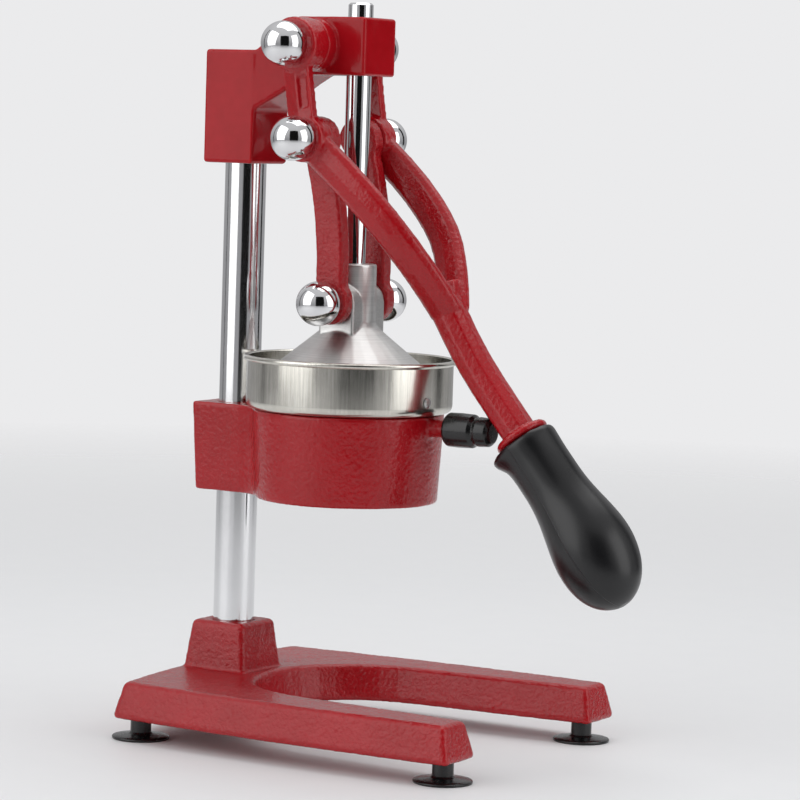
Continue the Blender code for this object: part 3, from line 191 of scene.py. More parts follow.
class Board:
    """A node tree that is wired up in code."""

    def __init__(self, tree: bpy.types.NodeTree) -> None:
        """Empties the tree and keeps it."""
        self.tree = tree
        tree.nodes.clear()

    def add(self, kind: str, settings: Settings = None, values: Settings = None) -> Part:
        """Adds a node.

        Args:
            kind: The node's type.
            settings: Its properties, set first.
            values: Numbers, colours or Wires for its inputs, by name or place.

        Returns:
            The node.
        """
        node = self.tree.nodes.new(kind)
        for name, value in (settings or {}).items():
            setattr(node, name, value)
        for name, value in (values or {}).items():
            self.feed(node.inputs[name], value)
        return Part(self, node)

    def feed(self, socket: bpy.types.NodeSocket, value: Any) -> None:
        """Links a Wire to an input, or sets the input.

        Args:
            socket: The input.
            value: A Wire, a number, or the parts of a colour or vector.
        """
        if isinstance(value, Wire):
            self.tree.links.new(value.socket, socket)
        elif isinstance(value, tuple) and socket.type == "RGBA" and len(value) == 3:
            socket.default_value = (*value, 1.0)
        else:
            socket.default_value = value

    def place(self, centre: Sequence[float] = (0, 0, 0), scale: Sequence[float] = (1, 1, 1)) -> Wire:
        """Object coordinates measured from a centre, then scaled along each axis.

        Args:
            centre: The point that becomes the origin.
            scale: The factor along X, Y and Z.

        Returns:
            The coordinates.
        """
        coordinates = self.add("ShaderNodeTexCoord").out("Object")
        moved = self.add(
            "ShaderNodeVectorMath", {"operation": "SUBTRACT"}, {0: coordinates, 1: tuple(centre)}
        ).out()
        return self.add("ShaderNodeVectorMath", {"operation": "MULTIPLY"}, {0: moved, 1: tuple(scale)}).out()

    def noise(self, where: Wire, scale: float, detail: float = 2.0, roughness: float = 0.5) -> Wire:
        """Cloudy noise around 0.5.

        Args:
            where: The coordinates.
            scale: Cells in a metre.
            detail: Octaves.
            roughness: The weight of the finer octaves.

        Returns:
            The noise.
        """
        values = {"Vector": where, "Scale": scale, "Detail": detail, "Roughness": roughness}
        return self.add("ShaderNodeTexNoise", None, values).out("Fac")

    def blend(self, share: Wire | float, first: Any, second: Any) -> Wire:
        """A colour between two others.

        Args:
            share: 0 gives the first and 1 the second.
            first: A colour or Wire.
            second: A colour or Wire.

        Returns:
            The colour.
        """
        node = self.add("ShaderNodeMix", {"data_type": "RGBA"})
        self.feed(node.node.inputs[0], share)
        self.feed(node.node.inputs[6], first)
        self.feed(node.node.inputs[7], second)
        return node.out(2)

    def bump(self, height: Wire, depth: float, strength: float = 1.0, under: Wire | None = None) -> Wire:
        """A normal tilted by a height.

        Args:
            height: The height in shares of the depth.
            depth: The depth in metres.
            strength: How much of it shows.
            under: A normal from an earlier bump.

        Returns:
            The normal.
        """
        values: dict[str, Any] = {"Height": height, "Distance": depth, "Strength": strength}
        if under is not None:
            values["Normal"] = under
        return self.add("ShaderNodeBump", None, values).out("Normal")


# Finishes


@dataclass(frozen=True)
class Finish:
    """A surface finish. A subclass paints it on a board."""

    name: str
    slot: Slot

    def material(self) -> bpy.types.Material:
        """The finish as a material, made once."""
        known = bpy.data.materials.get(self.name)
        if known is not None:
            return known
        made = bpy.data.materials.new(self.name)
        made.use_nodes = True
        board = Board(made.node_tree)
        board.add("ShaderNodeOutputMaterial", None, {0: self.surface(board)})
        return made

    def surface(self, board: Board) -> Wire:
        """The shader that the material ends in: one surface with the painted values."""
        return board.add("ShaderNodeBsdfPrincipled", None, self.paint(board)).out()

    def paint(self, board: Board) -> dict[str, Any]:
        """Paints the finish.

        Args:
            board: The material's board.

        Returns:
            Values and Wires for the sockets of the surface shader.
        """
        raise NotImplementedError


@dataclass(frozen=True)
class Enamel(Finish):
    """Glossy enamel sprayed over a sand casting, with a mottled tone, a painted highlight on its edges, and
    painted shade in its corners and in the low spots of its lumps.
    """

    # Dark red of the mottled tone, also used as painted shade in corners and hollows.
    deep_tone_and_shade: Triple = (0.310, 0.0035, 0.0065)
    body: Triple = (0.370, 0.0055, 0.0105)
    # Lighter red, used as the painted highlight on edges that stand out.
    edge_highlight: Triple = (0.560, 0.0180, 0.0220)
    lump: float = 560.0
    lump_depth: float = 0.0010
    gloss: float = 0.11
    shine: float = 0.32

    def paint(self, board: Board) -> dict[str, Any]:
        """Paints the enamel, as Finish.paint says."""
        where = board.place()
        edge = board.add("ShaderNodeAttribute", {"attribute_name": "edge"}).out("Fac")
        lumps = board.noise(where, self.lump, 2.5, 0.55)
        pits = board.noise(where, self.lump * 3.1, 1.5)
        clouds = board.noise(where, 28.0, 3.0)
        cells = {"Vector": where, "Scale": self.lump * 0.8}
        beads = board.add("ShaderNodeTexVoronoi", {"feature": "SMOOTH_F1"}, cells).out("Distance")
        # Darker in the low spots of the lumps, which is painted shade, and mottled by broad clouds, which is
        # random tone.
        tone_and_hollow_shade = (lumps * 0.35 + clouds * 0.65).over(0.34, 0.62)
        colour = board.blend(tone_and_hollow_shade, self.deep_tone_and_shade, self.body)
        # Painted highlight: the edges that stand out are painted lighter.
        colour = board.blend(edge.over(0.60, 0.98) * 0.55, colour, self.edge_highlight)
        # Painted shade: the corners and hollows are painted darker.
        colour = board.blend((0.42 - edge).over(0.0, 0.35) * 0.45, colour, self.deep_tone_and_shade)
        relief = lumps * 0.65 + pits * 0.12 - beads * 0.35
        scuffs = board.noise(where, 90.0, 4.0, 0.6).over(0.56, 0.74)
        return {
            "Base Color": colour,
            "Roughness": self.gloss + scuffs * 0.10 + pits * 0.04,
            "Specular IOR Level": self.shine,
            "Coat Weight": 0.20,
            "Coat Roughness": 0.05,
            "Normal": board.bump(relief, self.lump_depth, 1.0),
        }


@dataclass(frozen=True)
class Plated(Finish):
    """Bright plating with hairline wipe marks and a faint haze."""

    colour: Triple = (0.78, 0.78, 0.79)
    gloss: float = 0.045
    grain: Triple = (1.0, 1.0, 0.03)

    def paint(self, board: Board) -> dict[str, Any]:
        """Paints the plating, as Finish.paint says."""
        where = board.place()
        drawn = board.noise(board.place(scale=self.grain), 1400.0, 2.0)
        haze = board.noise(where, 55.0, 3.0)
        specks = board.noise(where, 900.0, 1.0).over(0.70, 0.80)
        hazy = tuple(0.72 * part for part in self.colour)
        colour = board.blend(haze * 0.35 + specks * 0.3, self.colour, hazy)
        return {
            "Base Color": colour,
            "Metallic": 1.0,
            "Roughness": self.gloss + drawn * 0.045 + haze * 0.03 + specks * 0.08,
            "Normal": board.bump(drawn, 0.00002, 0.25),
        }


@dataclass(frozen=True)
class Zinc(Finish):
    """Plain zinc-plated steel of screws and pins."""

    def paint(self, board: Board) -> dict[str, Any]:
        """Paints the zinc, as Finish.paint says."""
        where = board.place()
        spangle = board.noise(where, 420.0, 3.0)
        stain = board.noise(where, 120.0, 4.0)
        colour = board.blend(stain.over(0.35, 0.7), (0.42, 0.42, 0.43), (0.62, 0.61, 0.58))
        return {
            "Base Color": colour,
            "Metallic": 1.0,
            "Roughness": 0.26 + spangle * 0.2,
            "Normal": board.bump(spangle, 0.00008, 0.4),
        }


@dataclass(frozen=True)
class Brushed(Finish):
    """Warm stainless sheet with upright brush lines round a vertical axis."""

    centre: Triple = (0.0, 0.0, 0.0)
    bright: Triple = (0.74, 0.72, 0.66)
    dull: Triple = (0.48, 0.465, 0.42)

    def paint(self, board: Board) -> dict[str, Any]:
        """Paints the sheet, as Finish.paint says."""
        lines = board.noise(board.place(self.centre, (1.0, 1.0, 0.025)), 950.0, 3.0, 0.65)
        bands = board.noise(board.place(self.centre, (1.0, 1.0, 0.05)), 75.0, 2.0)
        smudge = board.noise(board.place(self.centre), 48.0, 4.0, 0.6)
        share = (lines * 0.45 + bands * 0.35 + smudge * 0.2).over(0.36, 0.64)
        return {
            "Base Color": board.blend(share, self.dull, self.bright),
            "Metallic": 1.0,
            "Roughness": 0.13 + lines * 0.08 + smudge * 0.06,
            "Normal": board.bump(lines, 0.00003, 0.35),
        }


@dataclass(frozen=True)
class Turned(Finish):
    """Cast aluminium turned on a lathe: fine rings about a vertical axis over a satin skin."""

    centre: Triple = (0.0, 0.0, 0.0)
    bright: Triple = (0.74, 0.735, 0.72)
    dull: Triple = (0.54, 0.535, 0.525)

    def paint(self, board: Board) -> dict[str, Any]:
        """Paints the aluminium, as Finish.paint says."""
        flat = board.place(self.centre, (1.0, 1.0, 0.0))
        radius = board.add("ShaderNodeVectorMath", {"operation": "LENGTH"}, {0: flat}).out("Value")
        height = board.add("ShaderNodeSeparateXYZ", None, {0: board.place(self.centre)}).out("Z")
        spiral = board.add("ShaderNodeCombineXYZ", None, {"X": radius, "Z": height * 0.6}).out()
        rings = board.noise(spiral, 1500.0, 2.0, 0.6)
        skin = board.noise(board.place(), 380.0, 3.0)
        stain = board.noise(board.place(), 42.0, 4.0)
        share = (rings * 0.5 + stain * 0.5).over(0.34, 0.66)
        normal = board.bump(rings, 0.00005, 0.5)
        return {
            "Base Color": board.blend(share, self.dull, self.bright),
            "Metallic": 1.0,
            "Roughness": 0.30 + rings * 0.10 + stain * 0.08,
            "Normal": board.bump(skin, 0.00009, 0.4, normal),
        }


@dataclass(frozen=True)
class Rubber(Finish):
    """Glossy moulded rubber with a little dust."""

    def paint(self, board: Board) -> dict[str, Any]:
        """Paints the rubber, as Finish.paint says."""
        where = board.place()
        skin = board.noise(where, 260.0, 3.0)
        dust = board.noise(where, 700.0, 2.0).over(0.62, 0.78)
        colour = board.blend(dust * 0.4 + skin * 0.2, (0.0035, 0.0035, 0.0040), (0.028, 0.027, 0.026))
        return {
            "Base Color": colour,
            "Roughness": 0.17 + skin * 0.12 + dust * 0.2,
            "Specular IOR Level": 0.5,
            "Normal": board.bump(skin, 0.00012, 0.35),
        }


@dataclass(frozen=True)
class Moulded(Finish):
    """Satin black moulding with a parting line along the plane through a point."""

    point: Triple = (0.0, 0.0, 0.0)
    square: Triple = (0.0, 0.0, 1.0)
    line: float = 0.00035

    def paint(self, board: Board) -> dict[str, Any]:
        """Paints the moulding, as Finish.paint says."""
        where = board.place()
        away = board.add(
            "ShaderNodeVectorMath", {"operation": "DOT_PRODUCT"}, {0: board.place(self.point), 1: self.square}
        ).out("Value")
        seam = 1.0 - away.size().over(self.line * 0.3, self.line)
        skin = board.noise(where, 150.0, 4.0, 0.6)
        grain = board.noise(where, 1900.0, 1.0)
        rubbed = board.noise(where, 26.0, 2.0)
        colour = board.blend(seam * 0.5 + rubbed * 0.2, (0.0030, 0.0030, 0.0036), (0.018, 0.018, 0.020))
        normal = board.bump(seam, 0.00025, 0.6)
        return {
            "Base Color": colour,
            "Roughness": 0.22 + rubbed * 0.10 + skin * 0.06,
            "Specular IOR Level": 0.5,
            "Normal": board.bump(grain * 0.4 + skin * 0.6, 0.00006, 0.45, normal),
        }


@dataclass(frozen=True)
class Paper(Finish):
    """Pale studio floor that fades out far from the object."""

    def surface(self, board: Board) -> Wire:
        """The painted surface near the object, and nothing past its fade."""
        where = board.place()
        distance = board.add("ShaderNodeVectorMath", {"operation": "LENGTH"}, {0: where}).out("Value")
        paper = super().surface(board)
        gone = board.add("ShaderNodeBsdfTransparent").out()
        return board.add("ShaderNodeMixShader", None, {0: distance.over(0.75, 2.1), 1: paper, 2: gone}).out()

    def paint(self, board: Board) -> dict[str, Any]:
        """Paints the paper, as Finish.paint says."""
        fibre = board.noise(board.place(), 40.0, 4.0)
        colour = board.blend(fibre, (0.750, 0.757, 0.765), (0.770, 0.775, 0.780))
        return {"Base Color": colour, "Roughness": 0.55}


@dataclass(frozen=True)
class Glow(Finish):
    """An even backdrop that shines with one colour."""

    colour: Triple = (0.83, 0.83, 0.84)

    def paint(self, board: Board) -> dict[str, Any]:
        """Paints the backdrop, as Finish.paint says."""
        return {
            "Base Color": (0.0, 0.0, 0.0),
            "Roughness": 1.0,
            "Specular IOR Level": 0.0,
            "Emission Color": self.colour,
            "Emission Strength": 1.0,
        }


# Meshes


class Frame:
    """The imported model, loaded once."""

    loaded: dict[str, Any] = {}

    @classmethod
    def load(cls) -> None:
        """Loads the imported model."""
        cls.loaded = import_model()


def middle(node: str) -> Vector:
    """The centre of a node's box."""
    low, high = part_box(node)
    return (Vector(low) + Vector(high)) / 2


def upright(node: str, across: int = 0) -> tuple[float, float, Vector]:
    """The measures of a node that is round about a vertical axis.

    Args:
        node: The node.
        across: The axis along which its diameter is measured.

    Returns:
        Its radius, its height and the centre of its foot.
    """
    low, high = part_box(node)
    centre = middle(node)
    return (high[across] - low[across]) / 2, high[2] - low[2], Vector((centre.x, centre.y, low[2]))


def bar_profile(
    radius: float, height: float, chamfer: float, foot: Sequence[Point], rings: int
) -> list[Point]:
    """The profile of a polished bar: chamfered at the top, with rings along it and the given foot.

    Args:
        radius: Its radius.
        height: Its height.
        chamfer: The chamfer of its top edge.
        foot: The points of its lower end.
        rings: The stretches between the rings along it.

    Returns:
        The profile, from the top of the axis to the foot.
    """
    along = [(radius, height * (0.97 - 0.94 * step / rings)) for step in range(rings + 1)]
    return [(0.0, height), (radius - chamfer, height), (radius, height - chamfer), *along, *foot]


def merge(mesh: Mesh, distance: float, outward: bool = False) -> None:
    """Joins the points of a mesh that lie together, and may turn its normals outward.

    Args:
        mesh: The mesh.
        distance: How near points have to be.
        outward: Whether to recalculate the normals.
    """
    work = bmesh.new()
    work.from_mesh(mesh)
    bmesh.ops.remove_doubles(work, verts=work.verts, dist=distance)
    if outward:
        bmesh.ops.recalc_face_normals(work, faces=work.faces)
    work.to_mesh(mesh)
    work.free()


def fillet(points: Sequence[Point], radii: dict[int, float], steps: int = 6) -> list[Point]:
    """Rounds corners of a profile.

    Args:
        points: The profile.
        radii: The radius of each corner to round, by its place in the profile.
        steps: Points in each rounding.

    Returns:
        The profile with arcs in place of those corners.
    """
    rounded: list[Point] = []
    for place, point in enumerate(points):
        radius = radii.get(place, 0.0)
        if not radius:
            rounded.append(point)
            continue
        corner = Vector(point)
        before = Vector(points[place - 1]) - corner
        after = Vector(points[(place + 1) % len(points)]) - corner
        half = before.angle(after) / 2
        reach = min(radius / math.tan(half), before.length * 0.49, after.length * 0.49)
        start = corner + before.normalized() * reach
        end = corner + after.normalized() * reach
        for step in range(steps + 1):
            share = step / steps
            bent = start * (1 - share) ** 2 + corner * (2 * share * (1 - share)) + end * share**2
            rounded.append((bent.x, bent.y))
    return rounded


def new_object(name: str, points: Any, faces: Any, sharp: float = 35.0) -> Object:
    """A smooth-shaded object of points and faces, with its normals pointing out.

    Args:
        name: The object's name.
        points: The points.
        faces: The faces.
        sharp: Edges sharper than this many degrees stay crisp.

    Returns:
        The object, linked to the scene.
    """
    mesh = bpy.data.meshes.new(name)
    mesh.from_pydata([tuple(point) for point in points], [], [tuple(face) for face in faces])
    return new_from_mesh(name, mesh, sharp, outward=True)


def flat_sheet(name: str, half: float, tall: float) -> Object:
    """A level rectangle about the origin, from its half-width and half-depth."""
    corners = [(-half, -tall, 0), (half, -tall, 0), (half, tall, 0), (-half, tall, 0)]
    return new_object(name, corners, [(0, 1, 2, 3)])


def new_from_mesh(name: str, mesh: Mesh, sharp: float = 35.0, outward: bool = False) -> Object:
    """A smooth-shaded object around a mesh.

    Args:
        name: The object's name.
        mesh: The mesh.
        sharp: Edges sharper than this many degrees stay crisp.
        outward: Whether to recalculate the normals.

    Returns:
        The object, linked to the scene.
    """
    if outward:
        merge(mesh, 1e-7, outward)
    mesh.shade_smooth()
    mesh.set_sharp_from_angle(angle=math.radians(sharp))
    obj = bpy.data.objects.new(name, mesh)
    bpy.context.scene.collection.objects.link(obj)
    return obj


def bridged(rings: Sequence[Sequence[int]], steps: int) -> list[list[int]]:
    """The faces between each ring of points and the next.

    Args:
        rings: The points of each ring by number. A ring of one point is a pole.
        steps: Points in a full ring.

    Returns:
        The faces.
    """
    faces = []
    for upper, lower in zip(rings, rings[1:], strict=False):
        for step in range(steps):
            after = (step + 1) % steps
            corners = ((upper, step), (upper, after), (lower, after), (lower, step))
            face = list(dict.fromkeys(ring[place % len(ring)] for ring, place in corners))
            if len(face) > 2:
                faces.append(face)
    return faces


def revolved(
    profile: Sequence[Point],
    steps: int,
    origin: Sequence[float],
    axis: Sequence[float] = (0, 0, 1),
    loop: bool = False,
) -> tuple[list[Vector], list[list[int]]]:
    """Turns a profile about an axis.

    Args:
        profile: (radius, height) of each point. It starts and ends on the axis unless it is a loop.
        steps: Points in each ring.
        origin: The point of height 0.
        axis: The direction of the axis.
        loop: Whether the profile is closed, as a sheet's section is.

    Returns:
        The points and the faces.
    """
    turn = Vector((0, 0, 1)).rotation_difference(Vector(axis)).to_matrix()
    points: list[Vector] = []
    rings: list[list[int]] = []
    for radius, height in profile:
        pole = radius < 1e-7
        start = len(points)
        for step in range(1 if pole else steps):
            angle = math.tau * step / steps
            local = Vector((radius * math.cos(angle), radius * math.sin(angle), height))
            points.append(Vector(origin) + turn @ local)
        rings.append([start] if pole else list(range(start, start + steps)))
    return points, bridged([*rings, rings[0]] if loop else rings, steps)


def copy_of(node: str) -> Mesh:
    """A copy of a node's mesh with its loose triangles joined."""
    mesh = Frame.loaded["nodes"][node].data.copy()
    merge(mesh, 2e-6)
    return mesh


def applied(obj: Object, name: str) -> Mesh:
    """The mesh of an object with its modifiers, which are then gone with it.

    Args:
        obj: The object, which is deleted.
        name: The new mesh's name.

    Returns:
        The mesh.
    """
    graph = bpy.context.evaluated_depsgraph_get()
    mesh = bpy.data.meshes.new_from_object(obj.evaluated_get(graph))
    mesh.name = name
    old = obj.data
    bpy.data.objects.remove(obj)
    bpy.data.meshes.remove(old)
    return mesh


def read(items: Any, name: str, width: int, kind: type = float) -> np.ndarray:
    """One property of all items of a mesh, a row for each.

    Args:
        items: The items.
        name: The property.
        width: Numbers in a row.
        kind: The type of the numbers.

    Returns:
        The rows.
    """
    values = np.empty(len(items) * width, dtype=kind)
    items.foreach_get(name, values)
    return values.reshape(-1, width)


def mark_edges(mesh: Mesh, reach: float) -> None:
    """Stores how far each point stands out, 0.5 where it is flat, as the attribute "edge".

    Args:
        mesh: The mesh.
        reach: The curvature, in turns of the normal per metre, that counts as a full edge.
    """
    count = len(mesh.vertices)
    points = read(mesh.vertices, "co", 3)
    normals = read(mesh.vertex_normals, "vector", 3)
    ends = read(mesh.edges, "vertices", 2, np.int64)
    step = points[ends[:, 1]] - points[ends[:, 0]]
    bend = ((normals[ends[:, 1]] - normals[ends[:, 0]]) * step).sum(1) / np.maximum((step**2).sum(1), 1e-12)
    total = np.zeros(count)
    share = np.zeros(count)
    for side in (0, 1):
        np.add.at(total, ends[:, side], bend)
        np.add.at(share, ends[:, side], 1)
    value = total / np.maximum(share, 1)
    for _pass in range(3):
        spread = np.zeros(count)
        for side in (0, 1):
            np.add.at(spread, ends[:, side], value[ends[:, 1 - side]])
        value = 0.5 * value + 0.5 * spread / np.maximum(share, 1)
    attribute = mesh.attributes.new("edge", "FLOAT", "POINT")
    attribute.data.foreach_set("value", np.clip(0.5 + value / reach / 2, 0, 1).astype(np.float32))


def casting_skin(name: str, node: str, cell: float, soften: int, relief: Relief) -> Object:
    """A casting with rounded edges and a lumpy sand-cast skin, in the shape of a node.

    Args:
        name: The new object's name.
        node: The node whose shape it takes.
        cell: The size of the new faces.
        soften: Smoothing passes, which round the edges.
        relief: How coarse the skin is.

    Returns:
        The object.
    """
    obj = bpy.data.objects.new(name + "_rough", copy_of(node))
    bpy.context.scene.collection.objects.link(obj)
    remesh = obj.modifiers.new("even", "REMESH")
    remesh.mode = "VOXEL"
    remesh.voxel_size = cell
    remesh.adaptivity = 0.0
    smooth = obj.modifiers.new("soften", "SMOOTH")
    smooth.factor = 0.5
    smooth.iterations = soften
    size, height = relief.value
    for label, scale, share in (("lumps", size, 1.0), ("waves", size * 4.5, 0.9)):
        texture = bpy.data.textures.new(f"{name}_{label}", "CLOUDS")
        texture.noise_scale = scale
        texture.noise_depth = 1
        push = obj.modifiers.new(label, "DISPLACE")
        push.texture = texture
        push.texture_coords = "LOCAL"
        push.mid_level = 0.5
        push.strength = height * share * 2
    mesh = applied(obj, name)
    mark_edges(mesh, 700.0)
    return new_from_mesh(name, mesh, 80.0)


# Repeated shapes, made with Geometry Nodes


class Pattern(Board):
    """A Geometry Nodes tree built in code, with named numbers as inputs."""

    def __init__(self, name: str, inputs: dict[str, float]) -> None:
        """Starts the tree.

        Args:
            name: The tree's name.
            inputs: The value of each input by name.
        """
        super().__init__(bpy.data.node_groups.new(name, "GeometryNodeTree"))
        outside = self.tree.interface
        outside.new_socket("Geometry", in_out="INPUT", socket_type="NodeSocketGeometry")
        self.values: dict[str, float] = {}
        for label, value in inputs.items():
            socket = outside.new_socket(label, in_out="INPUT", socket_type="NodeSocketFloat")
            self.values[socket.identifier] = value
        outside.new_socket("Geometry", in_out="OUTPUT", socket_type="NodeSocketGeometry")
        self.start = self.add("NodeGroupInput")
        self.end = self.add("NodeGroupOutput")

    def finish(self, geometry: Wire, material: bpy.types.Material) -> None:
        """Ends the tree in Realize Instances and Set Material.

        Args:
            geometry: The last geometry.
            material: The material of the result.
        """
        real = self.add("GeometryNodeRealizeInstances", None, {"Geometry": geometry}).out()
        dressed = self.add("GeometryNodeSetMaterial", None, {"Geometry": real, "Material": material}).out()
        self.feed(self.end.node.inputs[0], dressed)

    def grow(self, obj: Object, name: str, sharp: float = 35.0) -> Object:
        """Runs the tree on an object.

        Args:
            obj: The object, which is replaced.
            name: The result's name.
            sharp: Edges sharper than this many degrees stay crisp.

        Returns:
            The result as a plain mesh object.
        """
        modifier = obj.modifiers.new("pattern", "NODES")
        modifier.node_group = self.tree
        for identifier, value in self.values.items():
            modifier[identifier] = value
        return new_from_mesh(name, applied(obj, name), sharp)


# Sub-assemblies


@dataclass
class Assembly:
    """A group of pieces that is built and dressed together."""

    label: str = "assembly"

    def put(self, obj: Object, body: Body, finish: Finish, nodes: Iterable[str]) -> None:
        """Dresses a new piece and hangs it on its body.

        Args:
            obj: The piece.
            body: The body that carries it.
            finish: Its finish.
            nodes: The nodes that it stands for.
        """
        obj.data.materials.clear()
        obj.data.materials.append(finish.material())
        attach(obj, body.value)
        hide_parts(*nodes)
        log.info("%s: %s, %d faces, %s", self.label, obj.name, len(obj.data.polygons), finish.name)

    def dress(self, finish: Finish, *nodes: str) -> None:
        """Gives kept nodes a finish.

        Args:
            finish: The finish.
            nodes: The nodes.
        """
        for name in nodes:
            for place in Frame.loaded["nodes"][name].material_slots:
                place.material = finish.material()
            log.info("%s: %s kept, %s", self.label, name, finish.name)


@dataclass
class Stand(Assembly):
    """The base with its feet, the column and the head."""

    label: str = "stand"
    foot_steps: int = 72
    column_steps: int = 96
    column_chamfer: float = 0.0010
    stem_share: float = 0.36
    disc_thickness: float = 0.0028
    base_finish: Enamel = Enamel("enamel_base", Slot.ENAMEL)
    head_finish: Enamel = Enamel(
        "enamel_head", Slot.ENAMEL, lump=160.0, lump_depth=0.00012, gloss=0.12, shine=0.14
    )
    rubber: Rubber = Rubber("foot_rubber", Slot.RUBBER)
    chrome: Plated = Plated("chrome_column", Slot.CHROME, gloss=0.085)
    zinc: Zinc = Zinc("zinc_screws", Slot.STEEL)

    def build(self) -> None:
        """Builds the stand."""
        base = casting_skin("base", "base_casting", 0.0011, 5, Relief.PEBBLED)
        self.put(base, Body.STAND, self.base_finish, ["base_casting"])
        head = casting_skin("head", "head_casting", 0.0009, 5, Relief.SMOOTH)
        self.put(head, Body.STAND, self.head_finish, ["head_casting"])
        for corner in ("front_left", "front_right", "rear_left", "rear_right"):
            self.build_foot(corner)
            self.dress(self.zinc, f"foot_screw_{corner}")
        self.build_column()
        self.dress(self.zinc, "column_washer", "column_bolt", "head_set_screw", "upper_pivot_shaft")

    def build_foot(self, corner: str) -> None:
        """Builds one foot: a thin flared disc on a stem.

        Args:
            corner: Which foot.
        """
        node = f"foot_{corner}"
        radius, height, foot = upright(node)
        stem = radius * self.stem_share
        rim = self.disc_thickness
        profile = [(0.0, height), (stem, height), (stem, rim + 0.0012), (stem + 0.0012, rim + 0.0002)]
        profile += [(radius * 0.80, rim * 0.78), (radius * 0.97, rim * 0.62), (radius, rim * 0.40)]
        profile += [(radius * 0.985, 0.0), (radius * 0.80, 0.0), (0.0, 0.0)]
        shape = fillet(profile, {1: 0.0004, 3: 0.0012, 6: 0.0006, 7: 0.0005})
        obj = new_object(f"rubber_{node}", *revolved(shape, self.foot_steps, foot), 50.0)
        self.put(obj, Body.STAND, self.rubber, [node])

    def build_column(self) -> None:
        """Builds the chrome column."""
        radius, height, foot = upright("column")
        chamfer = self.column_chamfer
        lower_end = [(radius, chamfer), (radius - chamfer, 0.0), (0.0, 0.0)]
        profile = bar_profile(radius, height, chamfer, lower_end, 24)
        obj = new_object("chrome_column", *revolved(profile, self.column_steps, foot), 30.0)
        self.put(obj, Body.STAND, self.chrome, ["column"])


@dataclass
class Balls(Assembly):
    """The six chrome ball nuts of the linkage."""

    label: str = "ball nuts"
    steps: int = 72
    seat_round: float = 0.0006
    chrome: Plated = Plated("chrome_balls", Slot.CHROME, gloss=0.03, grain=(1.0, 1.0, 1.0))

    def build(self) -> None:
        """Builds the balls."""
        for height, body in (("upper", Body.STAND), ("middle", Body.LEVER), ("lower", Body.RAM)):
            for side, sign in (("left", -1.0), ("right", 1.0)):
                self.build_ball(f"ball_nut_{height}_{side}", sign, body)

    def build_ball(self, node: str, sign: float, body: Body) -> None:
        """Builds one ball with a flat seat towards the pivot.

        Args:
            node: The node that it stands for.
            sign: The side of the press that it is on.
            body: The body that carries it.
        """
        low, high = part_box(node)
        radius = (high[2] - low[2]) / 2
        outer = high[1] if sign > 0 else -low[1]
        inner = low[1] if sign > 0 else -high[1]
        centre_y = outer - radius
        seat = centre_y - inner
        last = math.acos(min(seat / radius, 1.0))
        profile: list[Point] = []
        for step in range(33):
            angle = (math.pi - last) * step / 32
            profile.append((radius * math.sin(angle), radius * math.cos(angle)))
        profile.append((0.0, -seat))
        profile = fillet(profile, {len(profile) - 2: self.seat_round}, 4)
        centre = middle(node)
        origin = (centre.x, sign * centre_y, centre.z)
        obj = new_object(f"chrome_{node}", *revolved(profile, self.steps, origin, (0, sign, 0)), 40.0)
        self.put(obj, body, self.chrome, [node])


@dataclass
class Tray(Assembly):
    """The clamped tray with its stop, and the bumper on it."""

    label: str = "tray"
    steps: int = 72
    wall_radius: float = 0.052
    wall_end: float = math.radians(145.0)
    wall_flats: int = 30
    cap_share: float = 0.60
    enamel: Enamel = Enamel("enamel_tray", Slot.ENAMEL, lump=480.0, lump_depth=0.00065)
    rubber: Rubber = Rubber("bumper_rubber", Slot.RUBBER)
    zinc: Zinc = Zinc("zinc_screws", Slot.STEEL)

    def build(self) -> None:
        """Builds the tray and its bumper."""
        tray = casting_skin("tray", "tray_casting", 0.0009, 5, Relief.SATIN)
        self.round_wall(tray.data, middle("juice_bowl").x)
        self.put(tray, Body.STAND, self.enamel, ["tray_casting"])
        self.dress(self.zinc, "tray_set_screw")
        low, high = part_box("stop_bumper")
        length = high[0] - low[0]
        radius = (high[2] - low[2]) / 2
        step = length * self.cap_share
        profile = [(0.0, length), (radius * 0.62, length), (radius * 0.82, length - 0.0022)]
        profile += [(radius * 0.86, step + 0.0035), (radius * 0.80, step + 0.0012)]
        profile += [(radius * 0.97, step - 0.0008), (radius, step * 0.5)]
        profile += [(radius * 0.98, 0.0016), (radius * 0.86, 0.0), (0.0, 0.0)]
        shape = fillet(profile, {1: 0.002, 2: 0.002, 3: 0.001, 4: 0.001, 5: 0.0012, 7: 0.0010, 8: 0.0012})
        centre = middle("stop_bumper")
        origin = (low[0], centre.y, centre.z)
        obj = new_object("rubber_bumper", *revolved(shape, self.steps, origin, (1, 0, 0)), 60.0)
        self.put(obj, Body.STAND, self.rubber, ["stop_bumper"])

    def round_wall(self, mesh: Mesh, centre: float) -> None:
        """Turns the flats of the outer wall into one round wall.

        Args:
            mesh: The tray's mesh.
            centre: The x of the wall's axis.
        """
        flat = 2 * self.wall_end / self.wall_flats
        for vertex in mesh.vertices:
            x, y = vertex.co.x - centre, vertex.co.y
            bearing = math.atan2(y, x)
            if math.hypot(x, y) < self.wall_radius or abs(bearing) > self.wall_end:
                continue
            inside = (bearing + self.wall_end) % flat - flat / 2
            stretch = math.cos(inside) / math.cos(flat / 2)
            vertex.co.x, vertex.co.y = centre + x * stretch, y * stretch


